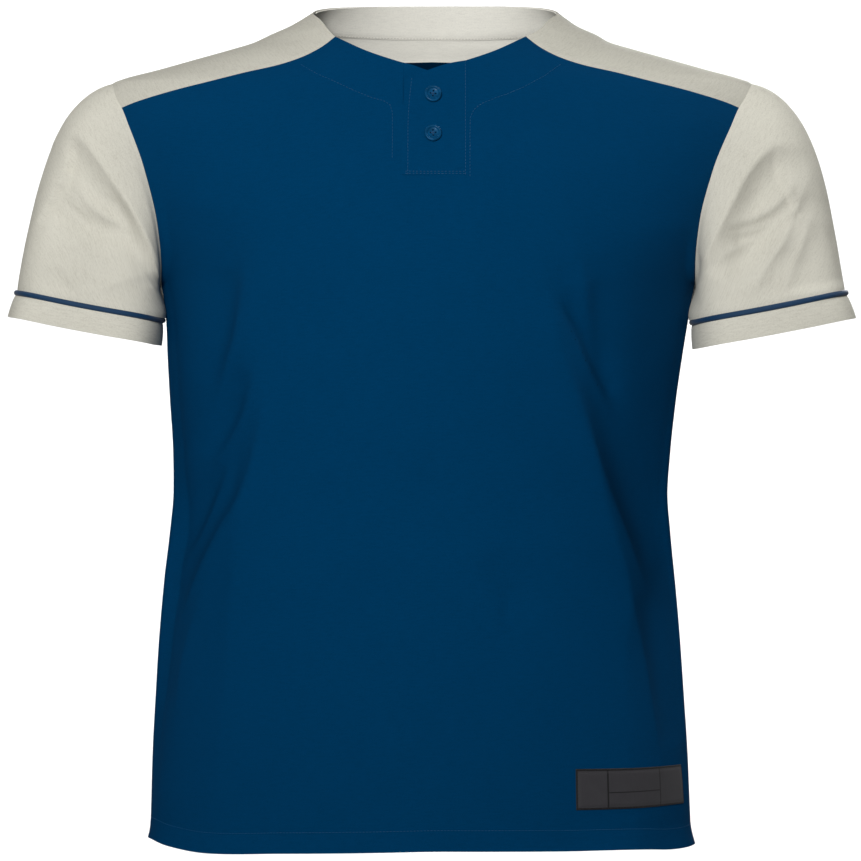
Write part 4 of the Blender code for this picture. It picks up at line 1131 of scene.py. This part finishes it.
def build_front(materials):
    grid = body_grid(front_top(), True)
    outward = form_normal(grid)
    height = fold_height(grid, outward, BODY_FOLDS) + flank_height(grid)
    broad, fine = (drift(grid, *wave) for wave in FRONT_WAVES)
    height += broad * ease((-grid[..., 2] - FRONT_WAVES_FROM) / FRONT_WAVES_REACH) + fine
    height += hem_height(grid) + hem_wave(grid, HEM_RIPPLE_LENGTH["front"])
    for side in SIDES:
        height += line_groove(grid, FACING_LINE[side])
    grid = settled(grid, outward, height)
    bottom_row = len(body_rows()) + N_RISE_LOW
    first, last = PLACKET_COLUMNS

    def in_notch(r, c):
        return (r >= bottom_row) & (c >= first) & (c < last)

    normal = facing_outward(grid, outward)
    # The panel's inner face shows the darkened navy, painted shade.
    front = shell("front_body_cloth", grid, outward, [materials["navy"], materials["navy_painted_shade"]],
                  missing=in_notch, inner_painted=True)
    lines = [line_on(grid, normal, FACING_LINE[side]) for side in SIDES] + [hem_line(grid, normal)]
    threads = stitches("front_stitches", lines, materials["navy_thread"])
    declare(front, grid, "front_body")
    return grid, normal


def hem_line(grid, normal):
    """The line of a body panel's hem stitches, which keeps its distance from the panel's first row."""
    up = lengths_along(grid, 0)
    columns = np.arange(grid.shape[1])
    rows = np.array([np.interp(HEM_STITCH, up[:, c], np.arange(grid.shape[0])) for c in columns])
    return line_at(grid, normal, rows, columns)


def build_back(materials):
    right, left = back_seam(-1.0)[::-1], back_seam(1.0)
    grid = body_grid(np.concatenate([right, left[1:]]), False)
    outward = form_normal(grid)
    height = fold_height(grid, outward, BODY_FOLDS) + drifts(grid, BACK_WAVES)
    height += hem_height(grid) + hem_wave(grid, HEM_RIPPLE_LENGTH["back"])
    grid = settled(grid, outward, height)
    # The panel's inner face shows the darkened navy, painted shade.
    back = shell("back_body_cloth", grid, outward, [materials["navy"], materials["navy_painted_shade"]], inner_painted=True)
    line = hem_line(grid, facing_outward(grid, outward))
    threads = stitches("back_stitches", [line], materials["navy_thread"])
    declare(back, grid, "back_body")


def build_yoke(side_name, materials):
    grid = yoke_grid(SIDES[side_name])
    outward = form_normal(grid)
    grid = settled(grid, outward, drifts(grid, YOKE_WAVES))
    # The yoke's outer side shows the darkened stone knit, painted shade, and its inner side a lightened one,
    # painted light.
    yoke = shell(f"yoke_{side_name}_cloth", grid, outward, [materials["yoke"], materials["yoke_inner_painted_light"]],
                 inner_painted=True)
    declare(yoke, grid, f"yoke_{side_name}")


def build_facing(materials):
    columns = N_ARM_YOKE + N_BACK
    right, left = neck_edge(-1.0, columns), neck_edge(1.0, columns)
    rows = [np.concatenate([right[right[:, 1] > 0], left[left[:, 1] > 0][::-1][1:]])]
    for _ in range(N_FACING):
        above = rows[-1]
        down = np.cross(form_normal(above), np.gradient(above, axis=0))
        down = unit(down * np.sign(-down[:, 2:3]))
        rows.append(shoulder_point((above + down * FACING_DEPTH / N_FACING)[:, :2]))
    grid = np.array(rows)
    outward = form_normal(grid)
    outer = grid - outward * FACING_GAP
    depth = outward * (1 - FACING_PRESSED * bell(edge_distance(grid, "last_row"), 1.6 * MM))[..., None]
    # The facing takes the lighter inside knit: painted light.
    facing = shell("back_neck_facing_cloth", outer, depth, [materials["inside"]], FACING_THICK)
    inner = outer - depth * FACING_THICK
    line = (grid_at(inner, N_FACING - 0.5, np.arange(grid.shape[1])), -outward[-1])
    threads = stitches("facing_stitches", [line], materials["stone_thread"])
    declare(facing, outer, "back_neck_facing")


def flap_grid(x_right, x_left, bottom, top_table, columns, rows):
    """A flap of the placket on the form: straight sides, and a top edge read from a table."""
    x = np.linspace(x_right, x_left, columns + 1)
    top = smooth(top_table, x / MM) * MM
    share = np.linspace(0, 1, rows + 1)[:, None]
    z = bottom + (top[None] - bottom) * share
    return form_point(form_angle(np.broadcast_to(x, z.shape), z), z)


def build_flap(materials):
    """The placket's upper flap, free along its right edge and sewn at its left and lower ones."""
    flap = flap_grid(PLACKET_RIGHT - FLAP_OVER, PLACKET_LEFT + FLAP_SEWN_OVER,
                     PLACKET_BOTTOM - FLAP_SEWN_OVER, FLAP_TOP, 36, 54)
    width = PLACKET_LEFT - PLACKET_RIGHT
    near_top = np.clip(1 - (flap[-1, 0, 2] - flap[..., 2]) / FLAP_CORNER_REACH, 0, 1)
    free = (PLACKET_LEFT - flap[..., 0]) / width
    x = flap[..., 0] + FLAP_CORNER_IN * free * near_top ** 2
    flap = form_point(form_angle(x, flap[..., 2]), flap[..., 2])
    outward = form_normal(flap)
    height = FLAP_LIFT * np.linspace(1, 0, flap.shape[1]) ** 2 + drifts(flap, FLAP_WAVES)
    for z in BUTTON_HEIGHTS.values():
        away = np.hypot(flap[..., 0] - BUTTON_X, flap[..., 2] - z)
        height -= BUTTON_HOLLOW * bell(away, BUTTON_RADIUS - 0.5 * MM)
    height -= 0.3 * MM * bell(edge_distance(flap, "first_column") - FLAP_STITCHES[0], 0.9 * MM)
    height += FLAP_SEWN_LIFT * bell(edge_distance(flap, "last_column", "first_row"), 6 * MM)
    flap = flap + outward * height[..., None]
    normal = facing_outward(flap, outward)
    cover = shell("placket_flap_cloth", flap, outward, [materials["navy"]])
    lines = [line_on(flap, normal, path) for path in PLACKET_LINES]
    rows = np.arange(flap.shape[0])
    lines += [line_at(flap, normal, rows, inset / width * (flap.shape[1] - 1)) for inset in FLAP_STITCHES]
    threads = stitches("placket_stitches", lines, materials["navy_thread"])
    declare(cover, flap, "placket_flap")
    return flap, normal


def build_stand(materials):
    """The placket's under flap, which comes up level with the front where the upper one leaves it bare."""
    stand = flap_grid(STAND_RIGHT, STAND_LEFT, STAND_BOTTOM, STAND_TOP, 58, 60)
    outward = form_normal(stand)
    x, z = stand[..., 0], stand[..., 2]
    over_flap = z - smooth(FLAP_TOP, x / MM) * MM
    shown = ease((over_flap - STAND_EDGE) / STAND_RISE) * ease((x - PLACKET_RIGHT + STAND_EDGE) / STAND_EDGE)
    outer = stand - outward * (STAND_DEPTH + (STAND_LEVEL - STAND_DEPTH) * shown)[..., None]
    under = shell("placket_stand_cloth", outer, outward, [materials["navy"]])
    declare(under, outer, "placket_stand")


def button_disc(name, placed, material):
    """The button's turned disc, with its four thread holes cut through it."""
    segments, sides = BUTTON_SEGMENTS, BUTTON_HOLE_SEGMENTS
    local = [(0.0, 0.0, 0.0)]
    for radius, level in BUTTON_PROFILE[1:-1]:
        local += [(*place, level * BUTTON_THICK) for place in circle(segments) * radius * BUTTON_RADIUS]
    local.append((0.0, 0.0, BUTTON_PROFILE[-1][1] * BUTTON_THICK))
    faces = []
    last = len(local) - 1 - segments
    for k in range(segments):
        after = (k + 1) % segments
        faces.append([0, 1 + after, 1 + k])
        for low in range(1, last, segments):
            high = low + segments
            faces.append([low + k, low + after, high + after, high + k])
        faces.append([last + k, last + after, len(local) - 1])
    button = make_mesh(f"{name}_disc", placed(local), faces, None, [material])

    holes, hole_faces = [], []
    for middle in ((-1, -1), (-1, 1), (1, -1), (1, 1)):
        hole_faces += rod_faces(2, sides, len(holes), turned=True)
        for level in (-1.0 * MM, BUTTON_THICK + 1.0 * MM):
            around = np.array(middle) * BUTTON_HOLE_SPACING + circle(sides) * BUTTON_HOLE_RADIUS
            holes += [(*place, level) for place in around]
    cutter = make_mesh(f"{name}_cutter", placed(holes), hole_faces, None, [material])
    cut = button.modifiers.new("thread_holes", "BOOLEAN")
    cut.object = cutter
    cut.operation = "DIFFERENCE"
    cut.solver = "EXACT"
    bpy.context.view_layer.update()
    graph = bpy.context.evaluated_depsgraph_get()
    finished = bpy.data.meshes.new_from_object(button.evaluated_get(graph))
    button.modifiers.clear()
    button.data = finished
    bpy.data.objects.remove(cutter)
    finished.set_sharp_from_angle(angle=math.radians(38))
    return button


def button_runs():
    """The paths of the button's thread, which arch over its face and dive into its holes."""
    top = BUTTON_PROFILE[-1][1] * BUTTON_THICK
    for k, (x, y) in enumerate(((1, 1), (1, -1))):
        corner = np.array([x, y]) * BUTTON_HOLE_SPACING
        beside = np.array([-y, x]) / math.sqrt(2)
        for shift in (-RUN_APART, RUN_APART):
            path = []
            for t in np.linspace(0, 1, 15):
                place = corner * (2 * t - 1) + beside * shift
                arch = RUN_ARCH * (1 + 0.5 * k) * math.sin(math.pi * t) ** 0.5
                sink = RUN_SINK * max(0.0, abs(2 * t - 1) - RUN_SINKS_FROM) / (1 - RUN_SINKS_FROM)
                path.append((*place, top + arch - sink))
            yield path


def build_button(name, flap, normal, materials):
    """A disc that sits on the flap, and its thread."""
    x, z = BUTTON_X / MM, BUTTON_HEIGHTS[name] / MM
    points, normals = line_on(flap, normal, [(x, z), (x + 0.2, z)])
    seat, outward = points[0] + normals[0] * BUTTON_SEAT, normals[0]
    across = unit(np.cross([0.0, 0.0, 1.0], outward))
    upright = np.cross(outward, across)
    turn = math.radians(BUTTON_TURNS[name])
    across, upright = (across * math.cos(turn) + upright * math.sin(turn),
                       upright * math.cos(turn) - across * math.sin(turn))

    def placed(local):
        return seat + np.array(local) @ np.array([across, upright, outward])

    button = button_disc(name, placed, materials["button"])
    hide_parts(name)
    ride_with_slot(button)
    for k, path in enumerate(button_runs()):
        thread = tube(f"{name}_thread_{k}", placed(path), RUN_RADIUS, materials["navy_thread"])
        ride_with_slot(thread)


def build_tag(front, normal, materials):
    """The tag: a ribbon with a dark border and bars, turned under at its edges, and sewn down all round."""
    row = front[len(body_rows()) // 7]
    first, last = np.interp([TAG_RIGHT, TAG_LEFT], row[:, 0], np.arange(len(row)))
    count_across, count_up = TAG_CELLS_ACROSS, TAG_CELLS_UP
    columns = np.linspace(first, last, count_across + 1)
    share = (columns - first) / (last - first)
    bottom, top = (edge["right"] + (edge["left"] - edge["right"]) * share for edge in (TAG_BOTTOM, TAG_TOP))
    # The tag lies within the panel's first 30 rows.
    span = np.arange(30.0)
    rows = []
    for column, low, high in zip(columns, bottom, top):
        heights = grid_at(front, span, column)[:, 2]
        rows.append(np.linspace(*np.interp([low, high], heights, span), count_up + 1))
    base, out = line_at(front, normal, np.array(rows).T, columns)
    grid = base + out * (TAG_SEAT + TAG_THICK)
    distance = edge_distance(grid, "first_row", "last_row", "first_column", "last_column")
    sewn = 0.3 * MM * bell(distance - 2.3 * MM, 0.9 * MM)
    edge = 0.45 * MM * bell(distance, 0.6 * MM)
    puff = 0.25 * MM * ease(distance / (6 * MM)) + drifts(grid, TAG_WAVES)
    grid = grid + out * (puff - sewn - edge)[..., None]
    width = lengths_along(grid, 1)[:, -1].mean()
    height = lengths_along(grid, 0)[-1].mean()

    def shade(r, c):
        u, v = (c + 0.5) / count_across * width, (r + 0.5) / count_up * height
        dark = (u < TAG_BORDER) | (u > width - TAG_BORDER) | (v < TAG_BORDER) | (v > height - TAG_BORDER)
        first_bar, last_bar = (round(bar * count_across) for bar in TAG_BARS_ACROSS)
        dark |= (c == first_bar) | (c == last_bar)
        dark |= (c > first_bar) & (c < last_bar) & (r == round(TAG_BAR_LEVEL * count_up))
        return dark.astype(int)

    tag = shell("hem_tag_cloth", grid, out, [materials["tag"], materials["tag_border"]], TAG_THICK * 0.8,
                material_of_cell=shade)
    own = facing_outward(grid, out)
    low = np.array([TAG_STITCH_INSET / height * count_up, TAG_STITCH_INSET / width * count_across])
    high = np.array([count_up, count_across]) - low
    corners = [low, (low[0], high[1]), high, (high[0], low[1]), low]
    lines = []
    for start, end, count in zip(corners[:-1], corners[1:], (60, 24, 60, 24)):
        lines.append(line_at(grid, own, *np.linspace(start, end, count).T))
    threads = stitches("tag_stitches", lines, materials["tag_border"])
    declare(tag, grid, "hem_tag")


def sleeve_turns():
    """Angles once round the armhole, from its top by way of the front, as the body's panels have them."""
    yoke = yoke_turns()
    front_yoke = yoke[yoke >= 0][::-1]
    back_yoke = yoke[yoke < 0][::-1] + 2 * math.pi
    front_side = side_turns(True)[::-1][1:]
    back_side = side_turns(False)[1:] + 2 * math.pi
    top = [0.0] if abs(front_yoke[0]) > 1e-9 else []
    return np.concatenate([top, front_yoke, front_side, back_side, back_yoke[1:]])


def sleeve_loop(side_name, ends, turns):
    """The loop at a sleeve's mouth or hem: a flattened round that tilts up towards the outside."""
    x, z, half_width, half_depth, tilt = ends[side_name]
    tilt = math.radians(tilt)
    out = np.array([SIDES[side_name] * math.cos(tilt), 0.0, math.sin(tilt)])
    middle = np.array([x * MM, -SLEEVE_FORWARD, z * MM])
    forward = np.array([0.0, -1.0, 0.0])
    across, ahead = (np.sign(part) * np.abs(part) ** (2 / SLEEVE_ROUNDNESS)
                     for part in (np.cos(turns)[:, None], np.sin(turns)[:, None]))
    return middle + across * half_width * MM * out + ahead * half_depth * MM * forward


def sleeve_grid(side_name, turns):
    """Rows from armhole to mouth, each column a curve that leaves the armhole outwards and ends downwards."""
    side = SIDES[side_name]
    start = armhole_point(side, turns)
    end = sleeve_loop(side_name, SLEEVE_MOUTH, turns)
    front = SLEEVE_START[side_name]
    back = [(360 - angle, reach, -forward, drop) for angle, reach, forward, drop in front[:-1]]
    reach, forward, drop = np.array(columns_at([*front, *back], np.degrees(turns))) * MM
    leave = np.stack([side * reach, -forward, -drop], axis=-1)
    tilt = math.radians(SLEEVE_MOUTH[side_name][4])
    axis = np.array([side * math.sin(tilt), 0.0, -math.cos(tilt)])
    arrive = axis * SLEEVE_END_PULL * np.linalg.norm(end - start, axis=-1, keepdims=True)
    return np.array([hermite(start, leave, end, arrive, t) for t in np.linspace(0, 1, N_SLEEVE + 1)])


def outward_of(grid):
    """Normals of a tube's grid, turned away from the tube's middle."""
    normal = grid_normals(grid, True)
    away = grid - grid.mean(axis=1, keepdims=True)
    return normal * np.sign(np.sum(normal * away))


def corner_swell(turns):
    """How far the sleeve swells at its corners."""
    return sum(swell * bell(np.degrees(turns) - corner, SLEEVE_CORNER_WIDTH)
               for corner, swell in SLEEVE_CORNERS)


def build_sleeve(side_name, materials):
    turns = sleeve_turns()
    grid = sleeve_grid(side_name, turns)
    outward = outward_of(grid)
    seed = SLEEVE_SEEDS[side_name]
    height = fold_height(grid, outward, SLEEVE_FOLDS[side_name])
    height += sum(drift(grid, *wave, seed + k) for k, wave in enumerate(SLEEVE_WAVES))
    edge_normal = form_normal(armhole_point(SIDES[side_name], turns))
    agree = np.clip((np.sum(edge_normal * outward[0], axis=-1) - 0.4) / 0.4, 0, 1)[:, None]
    outward[0] = unit(outward[0] * (1 - agree) + edge_normal * agree)
    from_start, from_end = edge_distance(grid, "first_row"), edge_distance(grid, "last_row")
    down = np.linspace(0, 1, grid.shape[0])[:, None]
    swell = corner_swell(turns)
    for distance, fade in zip((from_start, from_end), SLEEVE_FADES):
        height = height * ease(distance / fade)
    height = height + swell * ease(down / 0.35)
    height += SLEEVE_INNER * bell(np.degrees(turns) - 180, SLEEVE_INNER_WIDTH) * ease(down / 0.6)
    height -= SEAM_DIP * bell(from_start, SEAM_DIP_WIDTH) + MOUTH_DIP * bell(from_end, SEAM_DIP_WIDTH)
    folded = grid + outward * height[..., None]
    sleeve = shell(f"sleeve_{side_name}_cloth", folded, outward, [materials["stone"]], closed=True)
    declare(sleeve, folded, f"sleeve_{side_name}", closed=True)
    build_cuff(side_name, grid[-1], turns, materials)


def build_cuff(side_name, mouth, turns, materials):
    """The piping, a proud roll along the sleeve's mouth, and below it the cuff, which ends in its hem."""
    hem, swell, seed = sleeve_loop(side_name, CUFF_HEM, turns), corner_swell(turns), SLEEVE_SEEDS[side_name]
    ripple = CUFF_RIPPLE * (np.sin(turns * 5 + seed) + 0.7 * np.sin(turns * 8 + 2))
    down = np.linspace(0, 1, N_PIPING + 1)[:, None]
    piping = mouth + (hem - mouth) * PIPING_SHARE * down[..., None]
    out = outward_of(piping)
    bulge = PIPING_PROUD * np.sqrt(np.clip(1 - (2 * down - 1) ** 2, 0, 1))
    rolled = piping + out * (bulge + ripple * 0.5 + swell)[..., None]
    strip = shell(f"piping_{side_name}_cloth", rolled, out, [materials["piping"]], closed=True)
    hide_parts(f"piping_{side_name}")
    ride_with_slot(strip)
    down = np.linspace(0, 1, N_CUFF + 1)[:, None]
    cuff = mouth + (hem - mouth) * (PIPING_SHARE + (1 - PIPING_SHARE) * down[..., None])
    out = outward_of(cuff)
    height = ripple * down + CUFF_BELLY * np.sin(math.pi * down) + swell
    height -= CUFF_DIP * bell(edge_distance(cuff, "first_row"), CUFF_DIP_WIDTH)
    cuff = cuff + out * height[..., None]
    band = shell(f"cuff_{side_name}_cloth", cuff, out, [materials["stone"]], CUFF_THICK, closed=True)
    declare(band, cuff, f"cuff_{side_name}", closed=True)


def build_stage():
    """The camera at the photo's viewing angle, a pale floor that sweeps up behind, and soft studio light."""
    camera = bpy.data.objects.new("camera", bpy.data.cameras.new("camera"))
    bpy.context.scene.collection.objects.link(camera)
    camera.location = (0.0, -CAMERA_DISTANCE, CAMERA_HEIGHT)
    drop = math.atan2(CAMERA_HEIGHT - CAMERA_AIM, CAMERA_DISTANCE)
    camera.rotation_euler = (math.pi / 2 - drop, 0.0, 0.0)
    camera.data.sensor_width = SENSOR
    camera.data.lens = SENSOR * CAMERA_DISTANCE / FRAME_WIDTH
    bpy.context.scene.camera = camera

    radius, back, width = 1.6, 6.0, 14.0
    profile = [(-9.0, FLOOR), (back - radius, FLOOR)]
    profile += [(back - radius + radius * math.sin(t), FLOOR + radius * (1 - math.cos(t)))
                for t in np.linspace(0, math.pi / 2, 24)[1:]]
    profile.append((back, FLOOR + 6.0))
    points = [(x, y, z) for y, z in profile for x in (-width / 2, width / 2)]
    faces = [[2 * k, 2 * k + 1, 2 * k + 3, 2 * k + 2] for k in range(len(profile) - 1)]
    nodes = Nodes("pale_floor")
    pale = (0.86, 0.86, 0.86, 1.0)
    nodes.fill(nodes.shader, {"Base Color": pale, "Roughness": 0.9, "Specular IOR Level": 0.1})
    make_mesh("floor", np.array(points), faces, None, [nodes.material])

    world = bpy.data.worlds.new("studio")
    world.use_nodes = True
    background = world.node_tree.nodes["Background"]
    background.inputs["Color"].default_value = (1.0, 1.0, 1.0, 1.0)
    background.inputs["Strength"].default_value = WORLD_STRENGTH
    bpy.context.scene.world = world
    for row in LIGHTS:
        add_light(**dict(zip(LIGHT_COLUMNS, row)))


def add_light(name, place, aim, size, power, spread):
    """A square soft light that faces a point. spread is how wide, in degrees, its light fans out."""
    light = bpy.data.lights.new(name, "AREA")
    light.size = size
    light.spread = math.radians(spread)
    light.energy = power
    made = bpy.data.objects.new(name, light)
    bpy.context.scene.collection.objects.link(made)
    way = np.array(aim) - np.array(place)
    flat = math.hypot(way[0], way[1])
    made.location = place
    made.rotation_euler = (math.atan2(flat, -way[2]), 0.0, math.atan2(way[1], way[0]) - math.pi / 2)


def main():
    for old in list(bpy.data.objects):
        bpy.data.objects.remove(old)
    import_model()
    bpy.context.scene.view_settings.view_transform = "Standard"
    materials = make_materials()
    front, normal = build_front(materials)
    build_back(materials)
    build_tag(front, normal, materials)
    flap, flap_normal = build_flap(materials)
    build_stand(materials)
    for name in BUTTON_HEIGHTS:
        build_button(name, flap, flap_normal, materials)
    for side_name in SIDES:
        build_yoke(side_name, materials)
        build_sleeve(side_name, materials)
    build_facing(materials)
    build_stage()


main()
